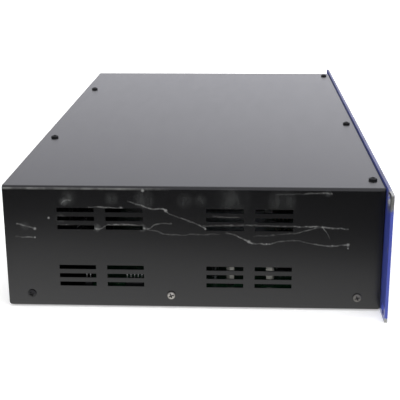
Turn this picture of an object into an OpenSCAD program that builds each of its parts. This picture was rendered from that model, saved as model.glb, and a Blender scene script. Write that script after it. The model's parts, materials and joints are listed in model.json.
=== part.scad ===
// Two-unit rackmount network switch: folded steel case, painted front panel with rack ears,
// main board with 24 network ports, open-frame power supply and two rear fans.
// Millimetres. +Z is up and the front faces -Y. The origin is the centre of the four rack
// slots, on the plane where the ears meet the rack posts.

/* [Front panel] */
// Width over both rack ears
panel_w = 482.6; // [482:0.1:483]
// Height of the panel
panel_h = 88.1; // [87.8:0.1:88.4]
// Thickness of the panel plate
panel_t = 2.0; // [1.6:0.1:2.4]
// Distance between the left and right rack slots
slot_span_x = 465.1; // [464.5:0.1:466]
// Distance between the upper and lower rack slots
slot_span_z = 76.2; // [57.15, 76.2]
// Length of a rack slot
slot_len = 10.3; // [8:0.1:10.5]
// Height of a rack slot
slot_h = 7.0; // [6:0.1:7.1]

/* [Case] */
// Width of the case behind the ears
case_w = 444; // [443:0.5:446]
// Depth of the cover, front edge to rear edge
case_d = 253; // [251:0.5:256]
// Height of the case
case_h = 86.1; // [86:0.1:86.3]
// Height of the case floor above the lower edge of the panel
case_lift = 0.5; // [0.3:0.1:0.8]
// Gap between the panel and the front edge of the cover
cover_gap = 1.0; // [0.6:0.1:1.6]
// Thickness of the folded steel sheet
sheet_t = 1.2; // [1:0.1:1.3]
// Outer radius of the cover's bends
bend_r = 2.0; // [1.8:0.1:2.4]
// Height of the tray's side walls, which end below the lowest vent slots
tray_side_h = 14.5; // [13:0.5:15]

/* [Side vents] */
// Length of a vent slot
vent_l = 25; // [20:0.5:27]
// Height of a vent slot
vent_h = 3.0; // [2:0.1:3.4]
// Distance between the three rows of a group
vent_pitch = 6.1; // [5.5:0.1:6.5]
// Height of the middle row of the lower groups above the lower edge of the panel
vent_low_z = 23.2; // [22:0.1:25]
// Height of the middle row of the upper groups above the lower edge of the panel
vent_high_z = 64.0; // [62:0.1:66]

/* [Network ports] */
// Width between neighbouring ports
port_pitch = 13.97; // [13.9:0.01:14.1]
// Distance between the centres of neighbouring port blocks
block_pitch = 62; // [61:0.5:63]

/* [Fans] */
// Width and height of a fan frame
fan_size = 60; // [60:60]
// Depth of a fan frame
fan_depth = 25; // [24:0.5:26]
// Number of blades
fan_blades = 7; // [5:1:9]

/* [Power switch] */
// Angle that the rocker turns through
rocker_swing = 22; // [18:1:24]

/* [Hidden] */
$fn = 48;
eps = 0.01;

// Heights of the case
base_z = -panel_h / 2 + case_lift;
top_z = base_z + case_h;
floor_z = base_z + sheet_t;
roof_z = top_z - sheet_t;
// Depths of the case
cover_y0 = cover_gap;
cover_y1 = cover_gap + case_d;
rear_y = cover_y1 - 1.1;
rear_in_y = rear_y - sheet_t;
// The tray fits inside the cover
fit_gap = 0.1;
tray_w = case_w - 2 * (sheet_t + fit_gap);
inner_w = tray_w - 2 * sheet_t - 0.6;
flange_d = 14;
// Centres of the vent groups, from the front
vent_y = [72.9, 105.5, 172.9, 205.5];

// Cover screws: along the front edge, along the rear edge, and on each side
top_front_x = [-201.7, -31.1, 204.6];
top_rear_x = [-85.7, 122.5];
top_front_y = 6.5;
top_rear_y = 245;
side_screw_y = [16, 142, 238];
side_screw_z = base_z + 9;
m3_shank_r = 1.45;
m3_tapped_r = 1.5;
m3_free_r = 1.7;
m3_head_r = 2.9;
m3_head_h = 2.0;

// Circuit boards
standoff_h = 8;
board_t = 1.6;
board_z = floor_z + standoff_h;
deck_z = board_z + board_t;
main_x0 = -213;
main_x1 = 58;
main_y0 = 4;
main_y1 = 200;
supply_x0 = 90;
supply_x1 = 212;
supply_y0 = 60;
supply_y1 = 212;
main_posts = [[-206, 23], [-206, 194], [-78, 194], [50, 194], [52, 23], [-40, 136]];
supply_posts = [[95, 66], [207, 66], [95, 206], [207, 206]];
post_r = 2.8;

// Port blocks: two rows of four ports, lower row latch down, upper row latch up
block_n = 4;
block_w = block_n * port_pitch + 1.4;
block_h = 27.6;
block_d = 27;
shield_t = 0.3;
block_x = [-170, -170 + block_pitch, -170 + 2 * block_pitch];
block_y0 = -panel_t - 0.3;
port_w = 11.8;
port_h = 6.9;
port_d = 14;
latch_w = [6.4, 3.4];
latch_h = 1.3;
row_z = [5.0, block_h - 5.0 - port_h];
contact_n = 8;
contact_pitch = 1.02;
contact_w = 0.45;
contact_t = 0.3;
contact_drop = 2.2;

// Chips of the main board, by their centres
switch_at = [-84.5, 100.5];
switch_w = 33;
switch_h = 2.6;
sink_w = 48;
sink_base_h = 3;
sink_fin_h = 16;
sink_fins = 10;
sink_fin_t = 1.4;
line_chip_y = 56;
line_chip_w = 24;
line_chip_h = 1.9;
memory_at = [-30, 104];
memory_size = [20, 11, 1.2];
memory_step = [26, 20];
coil_at = [[4, 176], [4, 162]];
coil_size = [10, 10, 5];
cell_at = [-120, 172];
cell_r = 10;
cell_h = 3.2;

// Upright capacitors: x, y, radius, height
main_cans = [[-194, 113, 2.6, 12], [26, 176, 4, 12.5], [37, 176, 4, 12.5], [26, 164, 4, 12.5],
    [37, 164, 4, 12.5], [-150, 150, 3.2, 8], [-142, 150, 3.2, 8]];
supply_cans = [[184, 76, 5, 21], [172, 76, 5, 21], [160, 76, 5, 21], [148, 76, 5, 16]];
bulk_can = [130, 180, 12.5, 36];

// Parts of the power supply
toroid_at = [118, 80];
toroid_r = 8;
toroid_wire_r = 4.6;
transformer_at = [152, 118];
core_size = [42, 16, 36];
core_leg_w = 11;
core_window = [26, 22];
core_lift = 3;
choke_at = [172, 172];
choke_r = 10;
choke_section_r = 5;
mains_can_corner = [152, 190];
mains_can_size = [27, 11, 19];
fuse_at = [200, 172];
fuse_r = 2.6;
fuse_l = 20;
fuse_z = deck_z + 6;
supply_sink_h = 42;
supply_sink_t = 3;
supply_fin_w = 9;
supply_fin_t = 1.6;
supply_fins = 7;
// left side of each heat sink's plate, its front end and its length
primary_sink = [106, 108, 56];
secondary_sink = [194, 96, 60];
primary_transistor_y = [120, 152];
secondary_transistor_y = [110, 142];

// Plugs of the leads
fan_plug_x = -203;
fan_plug_y = [102, 74.5];
dc_plug = [[46, 92], [100, 92]];
ac_plug = [192, 196];
ac_plug_h = 10;

// Uplink cages and console port
cage_w = 14.6;
cage_h = 9.8;
cage_d = 48;
cage_t = 0.4;
cage_x = [-2, 15];
console_x = 40;
console_w = 15.9;
console_h = 13.3;
console_d = 20;
console_port_z = 1.8;

// Lamp window and buttons
lens_x = block_x[1];
lens_w = 2 * block_pitch + block_w;
lens_z = 14;
lens_h = 12;
lamp_board_x0 = -206;
lamp_board_x1 = 50;
lamp_board_y = 10;
lamp_board_z0 = 0;
lamp_board_h = 30;
lamp_r = 1.45;
lamp_row_gap = 5;
mode_x = 4;
reset_x = 19;
status_x = [30, 36, 42];
button_z = lens_z;
lamp_posts = [[-198, 26.5], [-110, 26.5], [-20, 26.5], [44, 4]];

// Fans
fan_x = [-150, -76];
fan_z = 0;
fan_bore_r = fan_size / 2 - 1.4;
fan_hole = 25;
fan_y0 = rear_in_y - fan_depth;
hub_r = 15.5;
blade_r = fan_bore_r - 0.9;
shaft_r = 1.5;
bearing_r = 1.55;

// Mains inlet and power switch
inlet_x = 182;
inlet_z = -12;
inlet_hole = 20;
rocker_x = 132;
rocker_z = -12;
rocker_r = 8.85;
rocker_w = 11.4;
rocker_pivot_y = rear_y - 3.2;
pivot_r = 1.2;
stud_x = 96;
stud_z = -24;
stud_r = 2.0;
stud_l = 12;

// ---------- shared shapes ----------

// Rectangle with round corners, centred
module round_rect(w, h, r) {
    square([w - 2 * r, h], center = true);
    square([w, h - 2 * r], center = true);
    for (sx = [-1, 1], sy = [-1, 1])
        translate([sx * (w / 2 - r), sy * (h / 2 - r)])
            circle(r = r);
}

// Plate standing in the XZ plane: the outline's x and y become X and Z
module upright(y, t) {
    translate([0, y + t, 0])
        rotate([90, 0, 0])
            linear_extrude(height = t)
                children();
}

// Hole or pin along Y
module along_y(x, y, z, r, l) {
    translate([x, y, z])
        rotate([-90, 0, 0])
            cylinder(r = r, h = l);
}

function unit(v) = v / norm(v);

// Route with its corners rounded: curves that run between the middles of its legs
function rounded_corner(a, b, c, n) =
    [for (i = [0 : n - 1]) let (t = i / n)
        (1 - t) * (1 - t) * (a + b) / 2 + 2 * t * (1 - t) * b + t * t * (b + c) / 2];
function rounded_route(p, n) =
    let (last = len(p) - 1)
    concat([p[0]],
        [for (i = [1 : last - 1]) each rounded_corner(p[i - 1], p[i], p[i + 1], n)],
        [(p[last - 1] + p[last]) / 2, p[last]]);

// Direction of the route at each of its points
function headings(p) =
    [for (i = [0 : len(p) - 1])
        unit(p[min(i + 1, len(p) - 1)] - p[max(i - 1, 0)])];

// Side direction at each point, carried along the route without twisting
function side_steps(h, i, side) =
    i == len(h) ? [] :
    let (s = unit(side - (side * h[i]) * h[i]))
    concat([s], side_steps(h, i + 1, s));

// Round wire swept along a route of points
module wire(route, r, sides = 8) {
    p = rounded_route(route, 4);
    h = headings(p);
    across = abs(h[0][2]) < 0.9 ? [0, 0, 1] : [1, 0, 0];
    s = side_steps(h, 0, across);
    n = len(p);
    skin = [for (i = [0 : n - 1], k = [0 : sides - 1])
        let (a = 360 * k / sides) p[i] + r * (cos(a) * s[i] + sin(a) * cross(h[i], s[i]))];
    walls = [for (i = [0 : n - 2], k = [0 : sides - 1])
        let (j = (k + 1) % sides)
        [i * sides + k, (i + 1) * sides + k, (i + 1) * sides + j, i * sides + j]];
    first_cap = [for (k = [0 : sides - 1]) k];
    last_cap = [for (k = [sides - 1 : -1 : 0]) (n - 1) * sides + k];
    polyhedron(points = skin, faces = concat(walls, [first_cap, last_cap]), convexity = 6);
}

// Pan head with a cross recess: the head stands on z = 0 and the shank hangs below
module pan_screw(head_r, head_h, shank_r, shank_l) {
    dome_r = 1.9 * head_r;
    difference() {
        intersection() {
            cylinder(r = head_r, h = head_h);
            translate([0, 0, head_h - dome_r])
                sphere(r = dome_r);
        }
        for (a = [0, 90])
            rotate([0, 0, a + 20])
                translate([0, 0, head_h - 0.4])
                    cube([1.15 * head_r, 0.3 * head_r, 1.6], center = true);
    }
    translate([0, 0, -shank_l])
        cylinder(r = shank_r, h = shank_l + eps);
}

// Pan head that faces +Y or -Y (dir = 1 or -1)
module pan_screw_y(x, y, z, dir, head_r, head_h, shank_r, shank_l) {
    translate([x, y, z])
        rotate([-90 * dir, 0, 0])
            pan_screw(head_r, head_h, shank_r, shank_l);
}

// Ring with a round section, in the XY plane
module ring(ring_r, wire_r) {
    rotate_extrude()
        translate([ring_r, 0])
            circle(r = wire_r, $fn = 24);
}

// Box placed by its lowest corner
module box(corner, size) {
    translate(corner)
        cube(size);
}

// ---------- case ----------

module tray_outline() {
    r_out = sheet_t + 0.6;
    difference() {
        translate([0, base_z + tray_w / 4])
            round_rect(tray_w, tray_w / 2, r_out);
        translate([0, floor_z + tray_w / 4])
            round_rect(tray_w - 2 * sheet_t, tray_w / 2, 0.6);
        translate([-tray_w, base_z + tray_side_h])
            square([2 * tray_w, tray_w]);
    }
}

module base_tray() {
    color("#1b1c1e")
    difference() {
        upright(0, rear_y)
            tray_outline();
        for (y = side_screw_y)
            translate([-case_w, y, side_screw_z])
                rotate([0, 90, 0])
                    cylinder(r = m3_tapped_r, h = 2 * case_w);
        for (p = concat(main_posts, supply_posts))
            translate([p[0], p[1], base_z - 1])
                cylinder(r = m3_tapped_r, h = 4);
    }
}

// Openings of the front, wider by grow on each side, with holes for the lamps and buttons
module front_openings(grow) {
    for (x = block_x)
        translate([x, deck_z + block_h / 2])
            square([block_w + 2 * grow, block_h + 2 * grow], center = true);
    for (x = cage_x)
        translate([x, deck_z + cage_h / 2])
            square([cage_w + 2 * grow, cage_h + 2 * grow], center = true);
    translate([console_x, deck_z + console_h / 2])
        square([console_w + 2 * grow, console_h + 2 * grow], center = true);
    translate([lens_x, lens_z])
        round_rect(lens_w + 2 * grow, lens_h + 2 * grow, 1.5);
    translate([mode_x, button_z])
        circle(r = 3.3 + grow);
    translate([reset_x, button_z])
        circle(r = 1.6 + grow);
    for (x = status_x)
        translate([x, lens_z])
            circle(r = lamp_r + 0.1 + grow);
}

// Channel with a flange along its floor and its top edge; dir points into the case
module channel(y, dir) {
    h = roof_z - floor_z;
    y0 = dir > 0 ? y : y - flange_d;
    wall_y = dir > 0 ? y : y - sheet_t;
    box([-inner_w / 2, wall_y, floor_z], [inner_w, sheet_t, h]);
    box([-inner_w / 2, y0, floor_z], [inner_w, flange_d, sheet_t]);
    box([-inner_w / 2, y0, roof_z - sheet_t], [inner_w, flange_d, sheet_t]);
}

panel_nut_spots = [[-212, 0], [-212, 34], [62, -28], [62, 34], [212, 0], [140, 34], [140, -28]];

module front_subpanel() {
    color("#1b1c1e")
    difference() {
        channel(0, 1);
        upright(-1, sheet_t + 2)
            front_openings(0.5);
        for (x = top_front_x)
            translate([x, top_front_y, roof_z - 3])
                cylinder(r = m3_tapped_r, h = 4);
        for (p = panel_nut_spots)
            along_y(p[0], -1, p[1], m3_free_r, 4);
        for (p = lamp_posts)
            along_y(p[0], -1, p[1], m3_tapped_r, 4);
    }
}

module rear_panel() {
    color("#1b1c1e")
    difference() {
        channel(rear_y, -1);
        for (x = top_rear_x)
            translate([x, top_rear_y, roof_z - 3])
                cylinder(r = m3_tapped_r, h = 4);
        for (x = fan_x) {
            along_y(x, rear_in_y - 1, fan_z, fan_bore_r, 4);
            for (sx = [-1, 1], sz = [-1, 1])
                along_y(x + sx * fan_hole, rear_in_y - 1, fan_z + sz * fan_hole, 1.95, 4);
        }
        box([inlet_x - 14, rear_in_y - 1, inlet_z - 10.2], [28, 4, 20.4]);
        for (s = [-1, 1])
            along_y(inlet_x + s * inlet_hole, rear_in_y - 1, inlet_z, m3_tapped_r, 4);
        box([rocker_x - 6.85, rear_in_y - 1, rocker_z - 10.1], [13.7, 4, 20.2]);
        along_y(stud_x, rear_in_y - 1, stud_z, stud_r + 0.05, 4);
    }
}

module cover_outline() {
    h = case_h - 0.8;
    difference() {
        translate([0, top_z - case_w / 4])
            round_rect(case_w, case_w / 2, bend_r);
        translate([0, roof_z - case_w / 4])
            round_rect(case_w - 2 * sheet_t, case_w / 2, bend_r - sheet_t);
        translate([-case_w, top_z - h - case_w])
            square([2 * case_w, case_w]);
    }
}

module vent_slots() {
    for (y = vent_y, z = [vent_low_z, vent_high_z], row = [-1, 0, 1])
        translate([0, y, z - panel_h / 2 + row * vent_pitch])
            cube([2 * case_w, vent_l, vent_h], center = true);
}

module top_cover() {
    corner_r = 2;
    color("#1b1c1e")
    difference() {
        upright(cover_y0, case_d)
            cover_outline();
        vent_slots();
        for (x = top_front_x)
            translate([x, top_front_y, roof_z - 1])
                cylinder(r = m3_free_r, h = 4);
        for (x = top_rear_x)
            translate([x, top_rear_y, roof_z - 1])
                cylinder(r = m3_free_r, h = 4);
        for (y = side_screw_y)
            translate([-case_w, y, side_screw_z])
                rotate([0, 90, 0])
                    cylinder(r = m3_free_r, h = 2 * case_w);
        // rounds the lower rear corner of both sides
        translate([-case_w, cover_y1 - corner_r, top_z - case_h + 0.8])
            difference() {
                translate([0, 0, -1])
                    cube([2 * case_w, corner_r + 1, corner_r + 1]);
                translate([-1, 0, corner_r])
                    rotate([0, 90, 0])
                        cylinder(r = corner_r, h = 2 * case_w + 2);
            }
    }
}

module rack_slots() {
    for (sx = [-1, 1], sz = [-1, 1])
        translate([sx * slot_span_x / 2, sz * slot_span_z / 2])
            round_rect(slot_len, slot_h, slot_h / 2 - eps);
}

module front_panel() {
    stud_len = 7;
    color("#24307a")
    union() {
        upright(-panel_t, panel_t)
            difference() {
                round_rect(panel_w, panel_h, 0.8);
                rack_slots();
                front_openings(0.4);
            }
        for (p = panel_nut_spots)
            along_y(p[0], -eps, p[1], m3_shank_r, stud_len);
    }
}

module panel_nuts() {
    color("#c9cbc8")
    for (p = panel_nut_spots)
        difference() {
            translate([p[0], sheet_t, p[1]])
                rotate([-90, 0, 0]) {
                    cylinder(r = 3.5, h = 0.5);
                    translate([0, 0, 0.5])
                        cylinder(r = 3.1, h = 2.4, $fn = 6);
                }
            along_y(p[0], 0, p[1], m3_shank_r + 0.02, 6);
        }
}

module cover_screw_top(x, y) {
    translate([x, y, top_z])
        pan_screw(m3_head_r, m3_head_h, m3_shank_r, 5);
}

module cover_screw_side(y, side) {
    translate([side * case_w / 2, y, side_screw_z])
        rotate([0, side * 90, 0])
            pan_screw(m3_head_r, m3_head_h - 0.3, m3_shank_r, 5);
}

module black_cover_screws() {
    color("#151517") {
        for (x = top_front_x)
            cover_screw_top(x, top_front_y);
        for (x = top_rear_x)
            cover_screw_top(x, top_rear_y);
        for (side = [-1, 1])
            cover_screw_side(side_screw_y[2], side);
    }
}

module plated_cover_screws() {
    color("#b9bbb6")
    for (side = [-1, 1], i = [0, 1])
        cover_screw_side(side_screw_y[i], side);
}

// ---------- main board ----------

module main_board() {
    color("#1f6b3a")
    difference() {
        box([main_x0, main_y0, board_z], [main_x1 - main_x0, main_y1 - main_y0, board_t]);
        for (p = main_posts)
            translate([p[0], p[1], board_z - 1])
                cylinder(r = m3_free_r, h = 4);
    }
}

module board_standoffs() {
    color("#c8b06a") {
        for (p = concat(main_posts, supply_posts))
            translate([p[0], p[1], floor_z])
                difference() {
                    cylinder(r = post_r, h = standoff_h, $fn = 6);
                    translate([0, 0, 2])
                        cylinder(r = m3_tapped_r, h = standoff_h);
                }
        for (p = lamp_posts)
            difference() {
                translate([p[0], sheet_t, p[1]])
                    rotate([-90, 0, 0])
                        cylinder(r = post_r, h = lamp_board_y - sheet_t, $fn = 6);
                along_y(p[0], sheet_t + 2, p[1], m3_tapped_r, lamp_board_y);
            }
    }
}

module board_screws() {
    color("#c9cbc8") {
        for (p = concat(main_posts, supply_posts))
            translate([p[0], p[1], deck_z])
                pan_screw(2.7, 1.8, m3_shank_r, 6);
        for (p = lamp_posts)
            pan_screw_y(p[0], lamp_board_y + board_t, p[1], 1, 2.7, 1.8, m3_shank_r, 6);
    }
}

// Cavity of one port, opening towards -Y, its main part standing on z = 0
module port_cavity(latch_up) {
    box([-port_w / 2, -1, 0], [port_w, port_d + 1, port_h]);
    for (i = [0, 1]) {
        step = (i + 1) * latch_h;
        box([-latch_w[i] / 2, -1, latch_up ? port_h - eps : -step],
            [latch_w[i], port_d - 3, step + eps]);
    }
}

module port_block(index) {
    inner = block_w - 2 * shield_t;
    color("#17181a")
    translate([block_x[index], block_y0, deck_z])
        difference() {
            box([-inner / 2, 0, 0], [inner, block_d - shield_t, block_h - shield_t]);
            for (i = [0 : block_n - 1], row = [0, 1])
                translate([(i - (block_n - 1) / 2) * port_pitch, 0, row_z[row]])
                    port_cavity(row == 1);
        }
}

// One spring contact: along the wall of the cavity, then back into it. dir is the wall's side
module port_contact(dir) {
    front_y = 3.4;
    tip_y = 9.5;
    rotate([90, 0, 90])
        linear_extrude(height = contact_w, center = true)
            polygon([
                [port_d, 0], [front_y, 0], [front_y, -dir * contact_t],
                [tip_y, -dir * contact_drop], [tip_y + 0.4, -dir * (contact_drop - 0.25)],
                [front_y + 1.2, -dir * contact_t], [port_d, -dir * contact_t]]);
}

module contact_row(dir) {
    for (k = [0 : contact_n - 1])
        translate([(k - (contact_n - 1) / 2) * contact_pitch, 0, 0])
            port_contact(dir);
}

module port_contacts() {
    color("#d8b45a") {
        for (x = block_x, i = [0 : block_n - 1]) {
            px = x + (i - (block_n - 1) / 2) * port_pitch;
            translate([px, block_y0, deck_z + row_z[0] + port_h])
                contact_row(1);
            translate([px, block_y0, deck_z + row_z[1]])
                contact_row(-1);
        }
        translate([console_x, block_y0, deck_z + console_port_z])
            contact_row(-1);
    }
}

module port_shields() {
    inner = block_w - 2 * shield_t;
    color("#c3c5c4")
    for (x = block_x)
        translate([x, block_y0, deck_z])
            difference() {
                box([-block_w / 2, 0, 0], [block_w, block_d, block_h]);
                box([-inner / 2, -1, -1], [inner, block_d - shield_t + 1, block_h - shield_t + 1]);
            }
}

module uplink_cages() {
    color("#c3c5c4")
    for (x = cage_x)
        translate([x, -panel_t - 0.2, deck_z])
            difference() {
                box([-cage_w / 2, 0, 0], [cage_w, cage_d, cage_h]);
                box([-cage_w / 2 + cage_t, -1, cage_t],
                    [cage_w - 2 * cage_t, cage_d - cage_t + 1, cage_h - 2 * cage_t]);
            }
}

module uplink_sockets() {
    w = 11.5;
    d = 6;
    h = 5.6;
    color("#17181a")
    for (x = cage_x)
        translate([x, cage_d - panel_t - 0.2 - cage_t - d, deck_z + cage_t])
            difference() {
                box([-w / 2, 0, 0], [w, d, h]);
                box([-w / 2 + 1, -1, h / 2 - 0.6], [w - 2, 4.5, 1.2]);
            }
}

module console_port() {
    color("#17181a")
    translate([console_x, block_y0, deck_z])
        difference() {
            box([-console_w / 2, 0, 0], [console_w, console_d, console_h]);
            translate([0, 0, console_port_z])
                port_cavity(true);
        }
}

module switch_chip() {
    color("#26282b")
    box([switch_at[0] - switch_w / 2, switch_at[1] - switch_w / 2, deck_z],
        [switch_w, switch_w, switch_h]);
}

module switch_heat_sink() {
    pitch = (sink_w - sink_fin_t) / (sink_fins - 1);
    color("#8f9397")
    translate([switch_at[0] - sink_w / 2, switch_at[1] - sink_w / 2, deck_z + switch_h]) {
        cube([sink_w, sink_w, sink_base_h]);
        for (i = [0 : sink_fins - 1])
            box([i * pitch, 0, sink_base_h - eps], [sink_fin_t, sink_w, sink_fin_h]);
    }
}

module line_chips() {
    color("#26282b")
    for (x = block_x)
        box([x - line_chip_w / 2, line_chip_y - line_chip_w / 2, deck_z],
            [line_chip_w, line_chip_w, line_chip_h]);
}

module memory_chips() {
    color("#26282b")
    for (i = [0, 1], j = [0, 1])
        box([memory_at[0] + i * memory_step[0], memory_at[1] + j * memory_step[1], deck_z],
            memory_size);
}

// Upright capacitor with a narrow groove near its foot
module can_capacitor(r, h) {
    cylinder(r = r, h = 1.4);
    translate([0, 0, 1.4 - eps])
        cylinder(r = r - 0.3, h = 0.8 + 2 * eps);
    translate([0, 0, 2.2])
        cylinder(r = r, h = h - 2.2);
}

module small_capacitors() {
    color("#2a3350")
    for (c = concat(main_cans, supply_cans))
        translate([c[0], c[1], deck_z])
            can_capacitor(c[2], c[3]);
}

module board_coils() {
    color("#3b3d40")
    for (p = coil_at)
        box([p[0] - coil_size[0] / 2, p[1] - coil_size[1] / 2, deck_z], coil_size);
    color("#b5703a")
    translate([toroid_at[0], toroid_at[1], deck_z + toroid_wire_r])
        ring(toroid_r, toroid_wire_r);
}

module coin_cell_holder() {
    floor_t = 1.2;
    color("#17181a")
    translate([cell_at[0], cell_at[1], deck_z])
        difference() {
            cylinder(r = cell_r + 2, h = 5);
            translate([0, 0, floor_t])
                cylinder(r = cell_r + 0.3, h = 5);
            box([-3, -cell_r - 3, floor_t], [6, 6, 5]);
        }
}

module coin_cell() {
    rim_h = 0.6;
    color("#c9cbc8")
    translate([cell_at[0], cell_at[1], deck_z + 1.2]) {
        cylinder(r = cell_r, h = cell_h - rim_h);
        translate([0, 0, cell_h - rim_h - eps])
            cylinder(r = cell_r - 1.2, h = rim_h);
    }
}

// ---------- lamp board ----------

module lamp_board() {
    color("#1f6b3a")
    difference() {
        box([lamp_board_x0, lamp_board_y, lamp_board_z0],
            [lamp_board_x1 - lamp_board_x0, board_t, lamp_board_h]);
        for (p = lamp_posts)
            along_y(p[0], lamp_board_y - 1, p[1], m3_free_r, 4);
    }
}

module lamp(x, z) {
    tip_y = 0.6;
    along_y(x, tip_y + lamp_r, z, lamp_r, lamp_board_y - tip_y - lamp_r);
    translate([x, tip_y + lamp_r, z])
        sphere(r = lamp_r);
}

module lamps() {
    color("#7fd08a") {
        for (x = block_x, i = [0 : 2 * block_n - 1], s = [-1, 1])
            lamp(x + (i - (2 * block_n - 1) / 2) * port_pitch / 2, lens_z + s * lamp_row_gap / 2);
        for (x = status_x)
            lamp(x, lens_z);
    }
}

module lamp_lens() {
    lens_t = 1.2;
    color("#20262c")
    translate([lens_x, 0, lens_z]) {
        upright(-panel_t + 0.3, lens_t)
            round_rect(lens_w, lens_h, 1.2);
    }
}

button_travel = 1.0;
button_rest_y = -panel_t - 1.2;
switch_y = lamp_board_y - 3.6;

module mode_button() {
    color("#c9cbc8")
    union() {
        along_y(mode_x, button_rest_y, button_z, 3.0, 5.2);
        along_y(mode_x, button_rest_y + 5.2 - eps, button_z, 1.3,
            switch_y - button_rest_y - 5.2 - 0.1 - button_travel);
    }
}

module reset_button() {
    color("#c0392b")
    along_y(reset_x, button_rest_y + 1.4, button_z, 1.3,
        switch_y - button_rest_y - 1.4 - 0.1 - button_travel);
}

module button_switches() {
    color("#2b2d30")
    for (x = [mode_x, reset_x])
        difference() {
            box([x - 3, switch_y, button_z - 3], [6, lamp_board_y - switch_y, 6]);
            along_y(x, switch_y - 1, button_z, 1.7, 2);
        }
}

// Ribbon lead from the lamp board to the main board, with a socket at each end
module ribbon_lead() {
    w = 16;
    t = 0.9;
    upper_z = 6;
    low_y = 34;
    color("#8d9094")
    translate([-62, 0, 0]) {
        box([-w / 2 - 2, lamp_board_y + board_t, upper_z - 3], [w + 4, 8, 6]);
        box([-w / 2 - 2, low_y - 3, deck_z], [w + 4, 6, 9]);
        box([-w / 2, lamp_board_y + board_t + 8 - eps, upper_z - t / 2], [w, 9, t]);
        translate([0, lamp_board_y + board_t + 17, upper_z - 6 + t / 2])
            rotate([90, 0, 90])
                linear_extrude(height = w, center = true)
                    intersection() {
                        difference() {
                            circle(r = 6);
                            circle(r = 6 - t);
                        }
                        square([7, 7]);
                    }
        box([-w / 2, low_y - t + 0.6, deck_z + 9 - eps], [w, t, upper_z - 6 - deck_z - 8.5]);
    }
}

// ---------- leads and plugs ----------

// Header with its plug standing on it; w and d are the header's width and depth
module header_plug(x, y, w, d, header_h, plug_h) {
    inset = 0.3;
    box([x - w / 2, y - d / 2, deck_z], [w, d, header_h]);
    box([x - w / 2 + inset, y - d / 2 + inset, deck_z + header_h - eps],
        [w - 2 * inset, d - 2 * inset, plug_h]);
}

fan_header_h = 3.2;
fan_plug_h = 10;

// Plugs of the fan leads, beside the left wall
module fan_plugs() {
    color("#e9e7df")
    for (y = fan_plug_y)
        header_plug(fan_plug_x, y, 8, 5.8, fan_header_h, fan_plug_h);
}

module fan_leads() {
    r = 1.1;
    plug_top = deck_z + fan_header_h + fan_plug_h;
    lead_x = [-212.5, -216];
    color("#2b2d30")
    for (i = [0, 1]) {
        y = fan_plug_y[i];
        x = lead_x[i];
        start_x = fan_x[i] - fan_size / 2 + 4;
        z = -4 + 5 * i;
        wire([
            [start_x, fan_y0 - eps, -25], [start_x, fan_y0 - 5, -24], [start_x - 6, fan_y0 - 9, -18],
            [x + 12, fan_y0 - 10, z - 4], [x + 3, fan_y0 - 14, z - 1], [x, fan_y0 - 24, z],
            [x, y + 18, z], [x + 2, y + 8, z - 2], [fan_plug_x - 3, y + 2, z - 3],
            [fan_plug_x, y, z - 7], [fan_plug_x, y, plug_top + 3], [fan_plug_x, y, plug_top]], r);
    }
}

power_header_h = 4;
power_plug_h = 9;

// Four-pin power plugs on the main board and on the supply board
module power_plugs() {
    color("#e9e7df")
    for (p = dc_plug)
        header_plug(p[0], p[1], 6.4, 16, power_header_h, power_plug_h);
}

module dc_lead() {
    pitch = 3.6;
    r = 1.1;
    top = deck_z + power_header_h + power_plug_h;
    color("#8a2a24")
    for (i = [0 : 3]) {
        dy = (i - 1.5) * pitch;
        a = [dc_plug[0][0], dc_plug[0][1] + dy, top];
        b = [dc_plug[1][0], dc_plug[1][1] + dy, top];
        wire([a, a + [0, 0, 6], a + [4, 0, 11], a + [14, 0, 14], b + [-14, 0, 14],
            b + [-4, 0, 11], b + [0, 0, 6], b], r);
    }
}

inlet_back_y = rear_in_y - 20;
rocker_back_y = rear_in_y - 17;
terminal_l = 6;
pin_end_y = inlet_back_y - terminal_l;
tab_end_y = rocker_back_y - terminal_l;

module mains_lead() {
    r = 1.3;
    top = deck_z + ac_plug_h;
    color("#5a3a22") {
        for (s = [-1, 1])
            box([ac_plug[0] + s * 5 - 4, ac_plug[1] - 4, deck_z], [8, 8, ac_plug_h]);
        // inlet to the switch
        wire([[inlet_x - 7, pin_end_y, inlet_z - 2], [inlet_x - 7, pin_end_y - 5, inlet_z - 2],
            [inlet_x - 18, pin_end_y - 12, inlet_z + 4], [rocker_x + 14, tab_end_y - 12, rocker_z + 8],
            [rocker_x, tab_end_y - 8, rocker_z + 6], [rocker_x, tab_end_y, rocker_z + 6]], r);
        // switch to the supply board
        wire([[rocker_x, tab_end_y, rocker_z], [rocker_x, tab_end_y - 7, rocker_z],
            [rocker_x + 20, tab_end_y - 13, rocker_z - 1], [ac_plug[0] - 11, ac_plug[1] + 10, top + 9],
            [ac_plug[0] - 5, ac_plug[1], top + 7], [ac_plug[0] - 5, ac_plug[1], top]], r);
        // inlet to the supply board
        wire([[inlet_x + 7, pin_end_y, inlet_z - 2], [inlet_x + 7, pin_end_y - 5, inlet_z - 2],
            [inlet_x + 12, pin_end_y - 14, inlet_z - 2], [ac_plug[0] + 8, ac_plug[1] + 7, top + 9],
            [ac_plug[0] + 5, ac_plug[1], top + 6], [ac_plug[0] + 5, ac_plug[1], top]], r);
    }
    // earth wire from the inlet to the stud
    color("#6f8f2f")
    wire([[inlet_x, pin_end_y, inlet_z + 3], [inlet_x, pin_end_y - 6, inlet_z + 3],
        [inlet_x - 20, pin_end_y - 14, inlet_z + 14], [rocker_x, tab_end_y - 18, rocker_z + 18],
        [stud_x + 12, rear_in_y - 22, stud_z + 14], [stud_x + 3, rear_in_y - 9, stud_z + 8],
        [stud_x, rear_in_y - 2.4, stud_z + 7]], r);
}

// ---------- power supply ----------

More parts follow.
